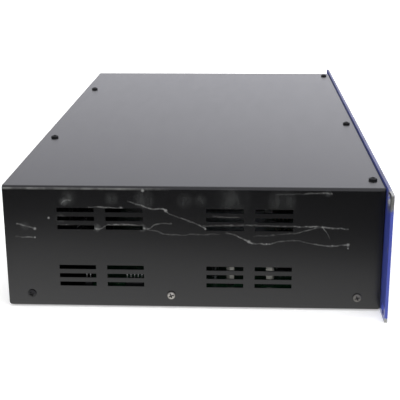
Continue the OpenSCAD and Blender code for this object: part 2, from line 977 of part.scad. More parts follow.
module supply_board() {
    color("#b08a3c")
    difference() {
        box([supply_x0, supply_y0, board_z],
            [supply_x1 - supply_x0, supply_y1 - supply_y0, board_t]);
        for (p = supply_posts)
            translate([p[0], p[1], board_z - 1])
                cylinder(r = m3_free_r, h = 4);
    }
}

module supply_insulator() {
    color("#d8d9d2")
    difference() {
        box([supply_x0 - 2, supply_y0 - 2, floor_z],
            [supply_x1 - supply_x0 + 4, supply_y1 - supply_y0 + 4, 0.5]);
        for (p = supply_posts)
            translate([p[0], p[1], floor_z - 1])
                cylinder(r = post_r + 0.6, h = 3);
    }
}

module transformer_core() {
    gap_w = (core_window[0] - core_leg_w) / 2;
    color("#3b3d40")
    translate([transformer_at[0], transformer_at[1], deck_z + core_lift])
        difference() {
            box([-core_size[0] / 2, -core_size[1] / 2, 0], core_size);
            for (s = [-1, 1])
                translate([s * (core_leg_w + gap_w) / 2, 0, core_size[2] / 2])
                    cube([gap_w, core_size[1] + 2, core_window[1]], center = true);
        }
}

module transformer_winding() {
    winding_h = core_window[1] - 0.6;
    color("#d9a441")
    translate([transformer_at[0], transformer_at[1],
        deck_z + core_lift + core_size[2] / 2 - winding_h / 2])
        linear_extrude(height = winding_h)
            difference() {
                round_rect(core_window[0] - 0.6, core_size[1] + 14.4, 5);
                square([core_leg_w + 0.4, core_size[1] + 0.4], center = true);
            }
    // foot of the bobbin
    color("#26282b")
    box([transformer_at[0] - 20, transformer_at[1] - 17, deck_z], [40, 34, core_lift - 0.1]);
}

module bulk_capacitor() {
    color("#1d2a55")
    translate([bulk_can[0], bulk_can[1], deck_z])
        can_capacitor(bulk_can[2], bulk_can[3]);
}

// Ring core with its windings, standing on a small base
module filter_choke() {
    base_h = 1.6;
    color("#b5703a")
    translate([choke_at[0], choke_at[1], deck_z + choke_r + choke_section_r + 1])
        rotate([0, 90, 20])
            ring(choke_r, choke_section_r);
    color("#26282b")
    box([choke_at[0] - 12, choke_at[1] - 10, deck_z], [24, 20, base_h]);
}

module filter_capacitor() {
    color("#d8b23a")
    box([mains_can_corner[0], mains_can_corner[1], deck_z], mains_can_size);
}

// Upright plate with fins on one side; place holds its left side, front end and length
module plate_sink(place, dir) {
    fin_x = dir < 0 ? place[0] - supply_fin_w : place[0] + supply_sink_t - eps;
    step = (place[2] - supply_fin_t) / (supply_fins - 1);
    foot = 4;
    box([place[0], place[1], deck_z], [supply_sink_t, place[2], supply_sink_h]);
    for (i = [0 : supply_fins - 1])
        box([fin_x, place[1] + i * step, deck_z + foot],
            [supply_fin_w + eps, supply_fin_t, supply_sink_h - foot]);
}

module supply_heat_sinks() {
    color("#8f9397") {
        plate_sink(primary_sink, -1);
        plate_sink(secondary_sink, 1);
    }
}

// Flat-backed power transistor standing against a heat sink at x; dir points away from it
module transistor(x, y, dir) {
    body = [4.4, 10, 9.5];
    tab = [1.3, 10, 6.4];
    leg = [0.8, 0.8, 8];
    leg_pitch = 2.54;
    box([dir > 0 ? x : x - body[0], y - 5, deck_z + leg[2]], body);
    box([dir > 0 ? x : x - tab[0], y - 5, deck_z + leg[2] + body[2] - eps], tab);
    for (k = [-1, 0, 1])
        box([dir > 0 ? x + 1.6 : x - 2.4, y + k * leg_pitch - leg[1] / 2, deck_z],
            leg + [0, 0, eps]);
}

module power_transistors() {
    color("#26282b") {
        for (y = primary_transistor_y)
            transistor(primary_sink[0] + supply_sink_t, y, 1);
        for (y = secondary_transistor_y)
            transistor(secondary_sink[0], y, -1);
    }
}

module fuse_clip(y) {
    difference() {
        box([fuse_at[0] - 3.4, y - 2, deck_z], [6.8, 4, 9]);
        along_y(fuse_at[0], y - 3, fuse_z, fuse_r, 6);
        box([fuse_at[0] - 2, y - 3, fuse_z], [4, 6, 5]);
    }
}

// Glass tube with a cap at each end, held in two clips
module mains_fuse() {
    cap_l = fuse_l / 4;
    color("#cfd2cf") {
        along_y(fuse_at[0], fuse_at[1] - fuse_l / 2, fuse_z, fuse_r, cap_l);
        along_y(fuse_at[0], fuse_at[1] + fuse_l / 2 - cap_l, fuse_z, fuse_r, cap_l);
        along_y(fuse_at[0], fuse_at[1] - fuse_l / 4 - eps, fuse_z, fuse_r - 0.3,
            fuse_l / 2 + 2 * eps);
        for (s = [-1, 1])
            fuse_clip(fuse_at[1] + s * (fuse_l / 2 - cap_l / 2));
    }
}

// ---------- mains inlet and power switch ----------

cavity_d = 16;

module inlet_outline(w, h, cut) {
    polygon([[-w / 2, -h / 2], [w / 2, -h / 2], [w / 2, h / 2 - cut], [w / 2 - cut, h / 2],
        [-w / 2 + cut, h / 2], [-w / 2, h / 2 - cut]]);
}

module power_inlet() {
    color("#17181a")
    translate([inlet_x, 0, inlet_z])
        difference() {
            union() {
                upright(rear_y, 2.6)
                    round_rect(48, 23.5, 4);
                upright(inlet_back_y, rear_y - inlet_back_y + eps)
                    inlet_outline(27.4, 19.8, 4);
            }
            upright(rear_y + 2.6 - cavity_d, cavity_d + 1)
                inlet_outline(24.4, 16.6, 4.4);
            for (s = [-1, 1]) {
                along_y(s * inlet_hole, rear_y - 1, 0, m3_free_r, 5);
                along_y(s * inlet_hole, rear_y + 1.2, 0, 3.2, 3);
            }
            for (p = [[-7, -2], [7, -2], [0, 3]])
                box([p[0] - 1, inlet_back_y - 1, p[1] - 2], [2, 30, 4]);
        }
}

module inlet_pins() {
    color("#c9cbc8")
    for (p = [[-7, -2], [7, -2], [0, 3]])
        box([inlet_x + p[0] - 1, pin_end_y, inlet_z + p[1] - 2],
            [2, rear_y - 0.8 - pin_end_y, 4]);
}

module rocker_housing() {
    well_w = rocker_w + 0.6;
    well_h = 2 * rocker_r + 0.7;
    color("#17181a")
    translate([rocker_x, 0, rocker_z])
        difference() {
            union() {
                upright(rear_y, 2)
                    round_rect(15.4, 22, 1);
                upright(rocker_back_y, rear_y - rocker_back_y + eps)
                    square([13.4, 19.8], center = true);
            }
            upright(rear_y - 13, 16)
                square([well_w, well_h], center = true);
            translate([-7, rocker_pivot_y, 0])
                rotate([0, 90, 0])
                    cylinder(r = pivot_r + 0.05, h = 14);
        }
    color("#c9cbc8")
    for (z = [-6, 0, 6])
        box([rocker_x - 2.4, tab_end_y, rocker_z + z - 0.4], [4.8, terminal_l + eps, 0.8]);
}

// Rocker in its OFF position: two flat faces that meet at a shallow valley, on two pivots
module power_rocker() {
    tilt = rocker_swing / 2;
    valley_y = 6.2;
    tip_z = 7.6;
    tip_y = valley_y + tip_z * tan(tilt);
    color("#202226")
    translate([rocker_x, rocker_pivot_y, rocker_z])
        rotate([-tilt, 0, 0]) {
            rotate([90, 0, 90])
                linear_extrude(height = rocker_w, center = true)
                    polygon([[-3.5, -8.2], [1, -rocker_r], [tip_y, -tip_z], [valley_y, 0],
                        [tip_y, tip_z], [1, rocker_r], [-3.5, 8.2]]);
            rotate([0, 90, 0])
                cylinder(r = pivot_r, h = 13.2, center = true);
        }
}

module ground_stud() {
    color("#c9cbc8")
    union() {
        along_y(stud_x, rear_in_y - 6, stud_z, stud_r, stud_l + 6 + sheet_t);
        for (y = [rear_in_y - 3.2, rear_y])
            translate([stud_x, y, stud_z])
                rotate([-90, 0, 0])
                    cylinder(r = 4, h = 3.2, $fn = 6);
    }
}

// ---------- fans ----------

module fan_place(index) {
    translate([fan_x[index], fan_y0, fan_z])
        rotate([-90, 0, 0])
            children();
}

// Frame with its axis along Z: air enters at z = 0 and leaves at z = fan_depth
module fan_frame(index) {
    base_t = 2.2;
    strut_w = 3;
    color("#1d1e20")
    fan_place(index)
        difference() {
            union() {
                difference() {
                    linear_extrude(height = fan_depth)
                        round_rect(fan_size, fan_size, 3);
                    translate([0, 0, -1])
                        cylinder(r = fan_bore_r, h = fan_depth + 2);
                    // the side walls are waisted between the two flanges
                    for (a = [0 : 90 : 270])
                        rotate([0, 0, a])
                            translate([fan_size / 2 - 4.2, fan_size / 2 - 4.2, 4])
                                cube([8, 8, fan_depth - 8]);
                }
                for (a = [45 : 90 : 315])
                    rotate([0, 0, a])
                        translate([0, -strut_w / 2, fan_depth - base_t])
                            cube([fan_bore_r + 1, strut_w, base_t]);
                translate([0, 0, fan_depth - base_t])
                    cylinder(r = hub_r, h = base_t);
                translate([0, 0, 5])
                    cylinder(r = 4, h = fan_depth - 5 - eps);
                // coil of the motor around the bearing tube
                translate([0, 0, 8])
                    cylinder(r = 12, h = 11);
            }
            translate([0, 0, -1])
                cylinder(r = bearing_r, h = fan_depth);
            for (sx = [-1, 1], sy = [-1, 1])
                translate([sx * fan_hole, sy * fan_hole, -1])
                    cylinder(r = 2.15, h = fan_depth + 2);
        }
}

module fan_impeller(index) {
    cup_z = 1.5;
    cup_h = 19.5;
    cup_t = 1.4;
    color("#26282b")
    fan_place(index) {
        difference() {
            translate([0, 0, cup_z])
                cylinder(r = hub_r, h = cup_h);
            translate([0, 0, cup_z + cup_t])
                cylinder(r = hub_r - cup_t, h = cup_h);
        }
        translate([0, 0, cup_z])
            cylinder(r = shaft_r, h = 20);
        intersection() {
            difference() {
                translate([0, 0, cup_z])
                    cylinder(r = blade_r, h = 18);
                translate([0, 0, 0])
                    cylinder(r = hub_r - 0.6, h = 30);
            }
            for (i = [0 : fan_blades - 1])
                rotate([0, 0, i * 360 / fan_blades])
                    translate([20, 0, cup_z + 9])
                        rotate([48, 0, 0])
                            cube([30, 30, 1.3], center = true);
        }
    }
}

module fan_guards() {
    wire_r = 0.8;
    z = fan_depth + sheet_t + wire_r;
    color("#c9cbc8")
    for (i = [0, 1])
        fan_place(i) {
            for (r = [7, 14, 21, 28])
                translate([0, 0, z + 2 * wire_r - 0.3])
                    ring(r, wire_r);
            for (a = [45, 135])
                rotate([0, 0, a])
                    translate([-(fan_hole * sqrt(2) - 4), 0, z])
                        rotate([0, 90, 0])
                            cylinder(r = wire_r, h = 2 * (fan_hole * sqrt(2) - 4), $fn = 24);
            for (sx = [-1, 1], sy = [-1, 1])
                translate([sx * fan_hole, sy * fan_hole, z])
                    ring(3.3, wire_r);
        }
}

module rear_screws() {
    color("#b9bbb6") {
        for (x = fan_x, sx = [-1, 1], sz = [-1, 1])
            pan_screw_y(x + sx * fan_hole, rear_y + 1.6, fan_z + sz * fan_hole, 1, 3.6, 2.4, 1.9, 9);
        for (s = [-1, 1])
            pan_screw_y(inlet_x + s * inlet_hole, rear_y + 1.2, inlet_z, 1, 2.7, 1.8, m3_shank_r, 6);
    }
}

base_tray();
front_subpanel();
rear_panel();
top_cover();
front_panel();
panel_nuts();
black_cover_screws();
plated_cover_screws();
main_board();
board_standoffs();
board_screws();
port_block(0);  // port_block_1
port_block(1);  // port_block_2
port_block(2);  // port_block_3
port_contacts();
port_shields();
uplink_cages();
uplink_sockets();
console_port();
lamp_board();
lamps();
lamp_lens();
mode_button();
reset_button();
button_switches();
ribbon_lead();
switch_chip();
switch_heat_sink();
line_chips();
memory_chips();
small_capacitors();
board_coils();
coin_cell();
coin_cell_holder();
fan_plugs();
fan_leads();
power_plugs();
dc_lead();
supply_board();
supply_insulator();
transformer_core();
transformer_winding();
bulk_capacitor();
filter_choke();
filter_capacitor();
supply_heat_sinks();
power_transistors();
mains_fuse();
mains_lead();
power_inlet();
inlet_pins();
rocker_housing();
power_rocker();
fan_frame(0);  // fan_frame_1
fan_frame(1);  // fan_frame_2
fan_impeller(0);  // fan_impeller_1
fan_impeller(1);  // fan_impeller_2
fan_guards();
rear_screws();
ground_stud();
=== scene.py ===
# %% [markdown]
# # The looks of a two-unit rackmount network switch
#
# The frame already holds every piece at its real size: a folded steel case, a painted front
# panel with two rack ears, the boards, the power supply and the fans. This lesson gives each
# surface the finish of the real thing, adds the fine pieces that are soldered, wound or printed,
# and lights it in a plain studio. Everything is in metres, in the frame's own coordinates:
# X runs along the front, Y from the front panel to the rear, and Z up.

# %% Load the frame
import json
import math
import bmesh
import bpy
from mathutils import Matrix, Vector


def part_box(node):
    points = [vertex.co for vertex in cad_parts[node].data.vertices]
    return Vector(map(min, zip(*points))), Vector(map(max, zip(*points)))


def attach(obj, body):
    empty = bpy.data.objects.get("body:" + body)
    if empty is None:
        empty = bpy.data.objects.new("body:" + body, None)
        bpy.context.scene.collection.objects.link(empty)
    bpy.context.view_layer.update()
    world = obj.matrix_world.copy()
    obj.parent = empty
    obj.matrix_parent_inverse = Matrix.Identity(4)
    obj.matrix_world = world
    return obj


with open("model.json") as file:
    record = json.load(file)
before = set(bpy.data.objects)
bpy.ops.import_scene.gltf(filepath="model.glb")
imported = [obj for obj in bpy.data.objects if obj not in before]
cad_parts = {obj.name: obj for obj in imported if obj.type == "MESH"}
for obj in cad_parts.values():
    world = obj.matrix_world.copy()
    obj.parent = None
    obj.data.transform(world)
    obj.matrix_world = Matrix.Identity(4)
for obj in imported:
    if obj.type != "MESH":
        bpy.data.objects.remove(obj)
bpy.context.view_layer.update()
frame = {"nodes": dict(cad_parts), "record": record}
record = frame["record"]
nodes = frame["nodes"]
mm = 0.001

# %% [markdown]
# Places come from the frame, never from guesses. A few corners are used again and again, so they
# get names: the cover gives the sides and the roof, the front panel gives the ears.

# %% Places to measure from
cover_low, cover_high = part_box("top_cover")
panel_low, panel_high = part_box("front_panel")
board_low, board_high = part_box("main_board")
supply_low, supply_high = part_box("supply_board")
left_x = cover_low.x
roof_z = cover_high.z
floor_z = min(cover_low.z, panel_low.z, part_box("base_tray")[0].z)
middle_y = (cover_low.y + cover_high.y) / 2
print("left side at", round(left_x, 4), "roof at", round(roof_z, 4), "floor at", round(floor_z, 4))

# %% [markdown]
# The camera stands at the left of the case, a little above it, and looks along the front panel
# and across the roof. It is built from its heading, its pitch and its roll, because those three
# numbers are what one would read off a tripod.

# %% Camera
camera_at = Vector((left_x - 0.5823, 0.0945, roof_z + 0.1744))
heading = math.radians(2.71)
pitch = math.radians(17.44)
roll = math.radians(-0.29)
ahead = Vector((math.cos(pitch) * math.cos(heading), math.cos(pitch) * math.sin(heading), -math.sin(pitch)))
level_right = ahead.cross(Vector((0, 0, 1))).normalized()
level_up = level_right.cross(ahead)
right = level_right * math.cos(roll) + level_up * math.sin(roll)
up = level_up * math.cos(roll) - level_right * math.sin(roll)

camera_data = bpy.data.cameras.new("camera")
camera_data.sensor_width = 36
camera_data.lens = 83.3
camera_data.dof.use_dof = False
camera_data.clip_start = 0.01
camera_data.clip_end = 20
camera = bpy.data.objects.new("camera", camera_data)
camera.matrix_world = Matrix.Translation(camera_at) @ Matrix((right, up, -ahead)).transposed().to_4x4()
bpy.context.scene.collection.objects.link(camera)
bpy.context.scene.camera = camera
print("camera at", [round(c, 3) for c in camera_at])

# %% [markdown]
# A shader works in linear colour, while a colour is usually picked as a hex code on a screen. One
# function turns the code into linear numbers. A second one adds a node with its settings and its
# links, so that a whole finish reads as a list of steps from the coordinates to the shader.

# %% Helpers for finishes
def linear(code):
    parts = [int(code[i:i + 2], 16) / 255 for i in (1, 3, 5)]
    return [c / 12.92 if c <= 0.04045 else ((c + 0.055) / 1.055) ** 2.4 for c in parts] + [1.0]


def add(tree, kind, settings=None, links=None):
    node = tree.nodes.new(kind)
    for key, value in (settings or {}).items():
        if isinstance(key, int) or key in node.inputs:
            node.inputs[key].default_value = value
        else:
            setattr(node, key, value)
    for key, source in (links or {}).items():
        tree.links.new(source if isinstance(source, bpy.types.NodeSocket) else source.outputs[0], node.inputs[key])
    return node


def start_finish(name):
    material = bpy.data.materials.new(name)
    material.use_nodes = True
    tree = material.node_tree
    place = add(tree, "ShaderNodeTexCoord").outputs["Object"]
    return material, tree, tree.nodes["Principled BSDF"], place


def per_metre(size_mm):
    """Noise scale at which one blob is about that many millimetres across."""
    return 1 / (size_mm * mm)

# %% [markdown]
# Most small parts are moulded, plated, drawn or sintered, and all of these leave the same kind of
# trace: a fine grain that changes the colour a little, patches where the gloss differs, and a
# surface that is not quite flat. One recipe covers them. What changes is the size of the grain in
# millimetres, how far it is drawn out along an axis, and how deep it is.

# %% A recipe for plain finishes
def grained(name, dark, light, grain, roughness, depth, metallic=0.0, drawn=(1, 1, 1), patch=14):
    material, tree, shader, place = start_finish(name)
    drawn_out = add(tree, "ShaderNodeMapping", {"Scale": drawn}, {"Vector": place})
    fine = add(tree, "ShaderNodeTexNoise", {"Scale": per_metre(grain), "Detail": 3.0, "Roughness": 0.6},
               {"Vector": drawn_out})
    broad = add(tree, "ShaderNodeTexNoise", {"Scale": per_metre(patch), "Detail": 2.0}, {"Vector": place})
    both = add(tree, "ShaderNodeMath", {"operation": "ADD"}, {0: fine, 1: broad})
    tone = add(tree, "ShaderNodeMapRange", {"From Min": 0.7, "From Max": 1.3}, {"Value": both})
    colour = add(tree, "ShaderNodeMix", {"data_type": "RGBA", 6: linear(dark), 7: linear(light)}, {0: tone})
    gloss = add(tree, "ShaderNodeMapRange", {"From Min": 0.3, "From Max": 0.7, "To Min": roughness[0],
                                             "To Max": roughness[1]}, {"Value": broad})
    relief = add(tree, "ShaderNodeBump", {"Strength": 0.6, "Distance": depth * mm}, {"Height": fine})
    tree.links.new(colour.outputs["Result"], shader.inputs["Base Color"])
    tree.links.new(gloss.outputs[0], shader.inputs["Roughness"])
    tree.links.new(relief.outputs[0], shader.inputs["Normal"])
    shader.inputs["Metallic"].default_value = metallic
    return material

# %% [markdown]
# ## Black case paint
#
# The cover is cold-rolled sheet under a thin satin powder coat. Powder flows out to a faint orange
# peel, about a millimetre from crest to crest, so the roof mirrors the room softly and the sides
# look deep black where the room is dark. This one has been handled: adhesive film has left pale
# wrinkled lines along the left side, and the roof has wipe marks. The side bend of the roof carries
# a painted highlight towards the rear.
#
# A wrinkled line could be a strip of mesh, but a scuff has no thickness. It is drawn in the finish
# instead. A Float Curve holds the height of each line along the case, so that one curve is one
# scuff, and a noise pushes it about and breaks it up.

# %% Scuff lines of the left side
# Each scuff: its points as (distance from the front panel, height above the middle, strength), the
# first two in millimetres.
SCUFFS = [
    [(174, 27, 0.9), (180, 27.5, 0.8), (186, 28, 0.5), (197, 28.3, 0.2)],
    [(118.5, 14, 0.5), (125, 17, 0.4), (132, 20, 0.3), (140, 22.6, 0.25), (143.5, 24.5, 0.6), (145, 26.3, 1),
     (148, 27.6, 0.7), (152.7, 27, 0.4), (157, 28.2, 0.6), (163.5, 30.3, 0.4), (170.5, 32.5, 0.2)],
    [(233, 12.6, 0.8), (236, 13.6, 0.5), (240, 14.8, 0.6), (246, 16, 0.2)],
    [(233.5, 6.2, 0.6), (241, 6.6, 0.3), (247, 7, 0.1)],
    [(141, 17.2, 0.4), (146, 17, 0.35), (152, 16.2, 0.3), (159, 13.5, 0.5), (163, 15.5, 0.4), (173, 16, 0.5),
     (183, 15.8, 0.45), (186, 14.5, 0.35), (191, 12.8, 0.6), (193.3, 13.5, 0.3), (203, 14.3, 0.3),
     (212, 15.1, 0.35), (218, 15.5, 0.2)],
    [(109, 10, 0.1), (119, 9.8, 0.15), (140, 9.1, 0.2), (152, 11.7, 0.3), (159, 13.4, 0.4)],
    [(23.8, 14.6, 0.5), (32.6, 14.9, 0.45), (41, 15.7, 0.65), (50, 15.9, 0.5), (58.7, 16, 0.4), (75, 16.3, 0.25),
     (92.5, 16.5, 0.3), (117, 15.8, 0.3), (122, 15.3, 0.3)],
    [(35.7, 7.3, 0.1), (37.5, 10.9, 0.35), (41, 15.7, 0.6)],
    [(23.7, 3.8, 0.7), (28, 3.3, 0.4), (33.8, 2.3, 0.5), (47.4, 4, 0.3), (58.4, 5.9, 0.2), (67, 5.6, 0.3),
     (77.9, 3.4, 0.5), (83.8, 3.6, 0.4), (89.4, 4.9, 0.85), (95, 7.5, 0.6), (101, 10.1, 0.35), (105.5, 11, 0.2)],
    [(41, 15.7, 0.4), (47.7, 14.3, 0.35), (59.4, 11.1, 0.2), (71.2, 10, 0.2), (86.5, 8.5, 0.1)],
    [(35.2, 38.3, 0.4), (38.5, 39.2, 0.5), (60, 38.5, 0.12), (72.6, 38, 0.15)],
    [(95.9, 21.8, 0.3), (105.2, 21.9, 0.25), (113.6, 22.5, 0.1)],
    [(207.8, 32.9, 0.25), (212.6, 32.5, 0.45), (214.8, 30.3, 0.3)],
    [(212.7, 21.4, 0.2), (217, 20.4, 0.3)],
]
SCUFF_WIDTH = 0.55
# Soft haze where the film's glue stayed on: (distance, height), radius, strength
HAZES = [((159, 34), 6, 0.2), ((181, 34), 4, 0.12), ((209, 35), 5, 0.1), ((68, 33), 8, 0.13), ((100, 35), 10, 0.09),
         ((132, 33), 5, 0.1), ((122, 33), 4, 0.09), ((191.5, 13.6), 2.6, 0.3), ((161, 13.8), 2.6, 0.25),
         ((240, 14.6), 3, 0.1), ((213, 32.2), 3, 0.22), ((38, 38.8), 2.2, 0.12), ((216, 20), 3, 0.12)]
# Short bright nicks, where the film was pinched: (distance, height), radius
NICKS = [((144.9, 26.2), 1.1), ((174.8, 27.2), 1.3), ((89.6, 4.9), 1.1), ((77.8, 3.4), 0.7), ((233.4, 12.6), 1.0), ((233.7, 6.4), 0.7),
         ((223.6, 20.3), 0.8), ((23.6, 3.4), 1.1), ((23.6, 1), 0.6), ((41, 15.7), 0.7), ((34, 2.6), 0.7),
         ((191.6, 12.9), 0.8), ((159.2, 13.5), 0.7), ((160, 40), 1.1), ((118.6, 13.6), 0.7)]


def follow(tree, share, spots):
    """A Float Curve through the given (place, value) pairs, both running from 0 to 1."""
    line = add(tree, "ShaderNodeFloatCurve", {}, {"Value": share})
    curve = line.mapping.curves[0]
    curve.points[0].location, curve.points[1].location = spots[0], spots[-1]
    for spot in spots[1:-1]:
        curve.points.new(*spot)
    line.mapping.update()
    return line


def scuff_mask(tree, along, height, points):
    first, last = points[0][0], points[-1][0]
    low = min(p[1] for p in points) - 1
    tall = max(p[1] for p in points) + 1 - low
    share = add(tree, "ShaderNodeMapRange", {"From Min": first * mm, "From Max": last * mm}, {"Value": along})
    places = [(p[0] - first) / (last - first) for p in points]
    line = follow(tree, share, [(x, (p[1] - low) / tall) for x, p in zip(places, points)])
    strength = follow(tree, share, [(x, p[2]) for x, p in zip(places, points)])
    level = add(tree, "ShaderNodeMath", {"operation": "MULTIPLY_ADD", 1: tall * mm, 2: low * mm}, {0: line})
    off = add(tree, "ShaderNodeMath", {"operation": "SUBTRACT"}, {0: height, 1: level})
    away = add(tree, "ShaderNodeMath", {"operation": "ABSOLUTE"}, {0: off})
    inside = add(tree, "ShaderNodeMapRange", {"From Min": 1.3 * SCUFF_WIDTH * mm, "From Max": 0.3 * SCUFF_WIDTH * mm},
                 {"Value": away})
    ends = add(tree, "ShaderNodeMath", {"operation": "COMPARE", 1: (first + last) / 2 * mm,
                                        2: (last - first) / 2 * mm}, {0: along})
    shown = add(tree, "ShaderNodeMath", {"operation": "MULTIPLY"}, {0: inside, 1: ends})
    return add(tree, "ShaderNodeMath", {"operation": "MULTIPLY"}, {0: shown, 1: strength})


def spot_mask(tree, place, along, level, radius, strength, soft):
    centre = (left_x, along * mm, level * mm)
    gap = add(tree, "ShaderNodeVectorMath", {"operation": "DISTANCE", 1: centre}, {0: place})
    return add(tree, "ShaderNodeMapRange", {"From Min": 1.3 * radius * mm, "From Max": soft * radius * mm,
                                            "To Max": strength}, {"Value": gap.outputs["Value"]})


def largest(tree, masks):
    top = masks[0]
    for mask in masks[1:]:
        top = add(tree, "ShaderNodeMath", {"operation": "MAXIMUM"}, {0: top, 1: mask})
    return top


def times(tree, *masks):
    product = masks[0]
    for mask in masks[1:]:
        product = add(tree, "ShaderNodeMath", {"operation": "MULTIPLY"}, {0: product, 1: mask})
    return product

# %% [markdown]
# The black finish then stacks, from the widest to the finest: the powder coat itself, faint wipe
# marks, the haze under the roof's edge and the scuff lines, and also a painted highlight along the
# side bend of the roof. Epoxy-polyester powder has an index of refraction of about 1.55.

# %% Satin powder coat on folded steel
black_paint, tree, shader, place = start_finish("satin_powder_coat")
axes = add(tree, "ShaderNodeSeparateXYZ", {}, {0: place})
along = axes.outputs["Y"]
peel = add(tree, "ShaderNodeTexNoise", {"Scale": per_metre(1.1), "Detail": 2.0}, {"Vector": place})
cloud = add(tree, "ShaderNodeTexNoise", {"Scale": per_metre(70), "Detail": 3.0}, {"Vector": place})
wipes = add(tree, "ShaderNodeMapping", {"Scale": (0.25, 1, 1), "Rotation": (0, 0, 0.5)}, {"Vector": place})
wipe = add(tree, "ShaderNodeTexNoise", {"Scale": per_metre(12), "Detail": 5.0, "Roughness": 0.7}, {"Vector": wipes})
# noise that pushes the scuff lines about by half a millimetre
shake = add(tree, "ShaderNodeTexNoise", {"Scale": per_metre(5), "Detail": 4.0}, {"Vector": place})
shaken_z = add(tree, "ShaderNodeMath", {"operation": "MULTIPLY_ADD", 1: 2.2 * mm}, {0: shake, 2: axes.outputs["Z"]})
height = add(tree, "ShaderNodeMath", {"operation": "SUBTRACT", 1: 1.1 * mm}, {0: shaken_z})
on_left = add(tree, "ShaderNodeMath", {"operation": "LESS_THAN", 1: left_x + 0.3 * mm}, {0: axes.outputs["X"]})
lines = largest(tree, [scuff_mask(tree, along, height, points) for points in SCUFFS])
broken = add(tree, "ShaderNodeTexNoise", {"Scale": per_metre(3.0), "Detail": 4.0, "Roughness": 0.7},
             {"Vector": place})
patchy = add(tree, "ShaderNodeMapRange", {"From Min": 0.4, "From Max": 0.62, "To Min": 0.12, "To Max": 0.62},
             {"Value": broken})
nicks = largest(tree, [spot_mask(tree, place, y, z, radius, 0.6, 0.0) for (y, z), radius in NICKS])
patchy_nicks = add(tree, "ShaderNodeMapRange", {"From Min": 0.35, "From Max": 0.5, "To Min": 0.4}, {"Value": broken})
scuffed = times(tree, largest(tree, [times(tree, lines, patchy), times(tree, nicks, patchy_nicks)]), on_left)
# haze in tall soft smudges
smear_map = add(tree, "ShaderNodeMapping", {"Scale": (0, 1, 0.3)}, {"Vector": place})
smear = add(tree, "ShaderNodeTexNoise", {"Scale": per_metre(9), "Detail": 4.0, "Roughness": 0.6},
            {"Vector": smear_map})
smear_on = add(tree, "ShaderNodeMapRange", {"From Min": 0.4, "From Max": 0.65, "To Min": 0.2}, {"Value": smear})
hazes = largest(tree, [spot_mask(tree, place, y, z, radius, strength, 0.0) for (y, z), radius, strength in HAZES])
hazed = times(tree, hazes, smear_on, on_left)
# painted highlight in grey along the side bend of the roof, towards the rear
bend_gap = add(tree, "ShaderNodeMath", {"operation": "COMPARE", 1: roof_z - 1.7 * mm, 2: 0.7 * mm},
               {0: axes.outputs["Z"]})
rear_part = add(tree, "ShaderNodeMapRange", {"From Min": 140 * mm, "From Max": 168 * mm}, {"Value": along})
bend_noise = add(tree, "ShaderNodeMapRange", {"From Min": 0.4, "From Max": 0.62, "To Min": 0.35}, {"Value": smear})
bend_highlight = times(tree, bend_gap, rear_part, bend_noise, on_left)
coat = add(tree, "ShaderNodeMix", {"data_type": "RGBA", 6: linear("#0a0a0b"), 7: linear("#0f0f11")}, {0: cloud})
hazy = add(tree, "ShaderNodeMix", {"data_type": "RGBA", 7: linear("#a6a9a7")}, {0: hazed, 6: coat.outputs["Result"]})
# the bend's painted highlight is mixed into the coat here
bend_highlight_share = add(tree, "ShaderNodeMath", {"operation": "MULTIPLY", 1: 0.42}, {0: bend_highlight})
wear_and_bend_highlight = add(tree, "ShaderNodeMix", {"data_type": "RGBA", 7: linear("#8b8c89")},
           {0: bend_highlight_share, 6: hazy.outputs["Result"]})
marked = add(tree, "ShaderNodeMix", {"data_type": "RGBA", 7: linear("#b2b3b1")},
             {0: scuffed, 6: wear_and_bend_highlight.outputs["Result"]})
sheen = add(tree, "ShaderNodeMapRange", {"From Min": 0.3, "From Max": 0.7, "To Min": 0.2, "To Max": 0.225},
            {"Value": wipe})
dull = add(tree, "ShaderNodeMath", {"operation": "MULTIPLY_ADD", 1: 0.35}, {0: scuffed, 2: sheen})
relief = add(tree, "ShaderNodeBump", {"Strength": 0.15, "Distance": 0.015 * mm}, {"Height": peel})
film = add(tree, "ShaderNodeBump", {"Strength": 0.5, "Distance": 0.1 * mm}, {"Height": scuffed, "Normal": relief})
shader.inputs["IOR"].default_value = 1.55
tree.links.new(marked.outputs["Result"], shader.inputs["Base Color"])
tree.links.new(dull.outputs[0], shader.inputs["Roughness"])
tree.links.new(film.outputs[0], shader.inputs["Normal"])
print("satin_powder_coat:", len(tree.nodes), "nodes,", len(SCUFFS), "scuffs and", len(NICKS), "nicks")

# %% [markdown]
# ## Blue panel paint
#
# The front panel is a 2 mm plate in wet-sprayed satin blue. Spray paint pulls thin at sharp
# corners, so those wear first: the upper left corner of the ear has lost its paint down to bare
# steel. Distance from the corner, broken up by noise, says where metal shows. Paint and metal are
# one shader whose metallic value follows the wear.

# %% Satin blue spray paint with a worn corner
blue_paint, tree, shader, place = start_finish("satin_blue_spray_paint")
axes = add(tree, "ShaderNodeSeparateXYZ", {}, {0: place})
speck = add(tree, "ShaderNodeTexNoise", {"Scale": per_metre(0.8), "Detail": 3.0}, {"Vector": place})
cloud = add(tree, "ShaderNodeTexNoise", {"Scale": per_metre(35), "Detail": 3.0}, {"Vector": place})
chip = add(tree, "ShaderNodeTexNoise", {"Scale": per_metre(3), "Detail": 5.0, "Roughness": 0.7}, {"Vector": place})
paint = add(tree, "ShaderNodeMix", {"data_type": "RGBA", 6: linear("#404ca5"), 7: linear("#4a57b1")}, {0: cloud})
bare = None
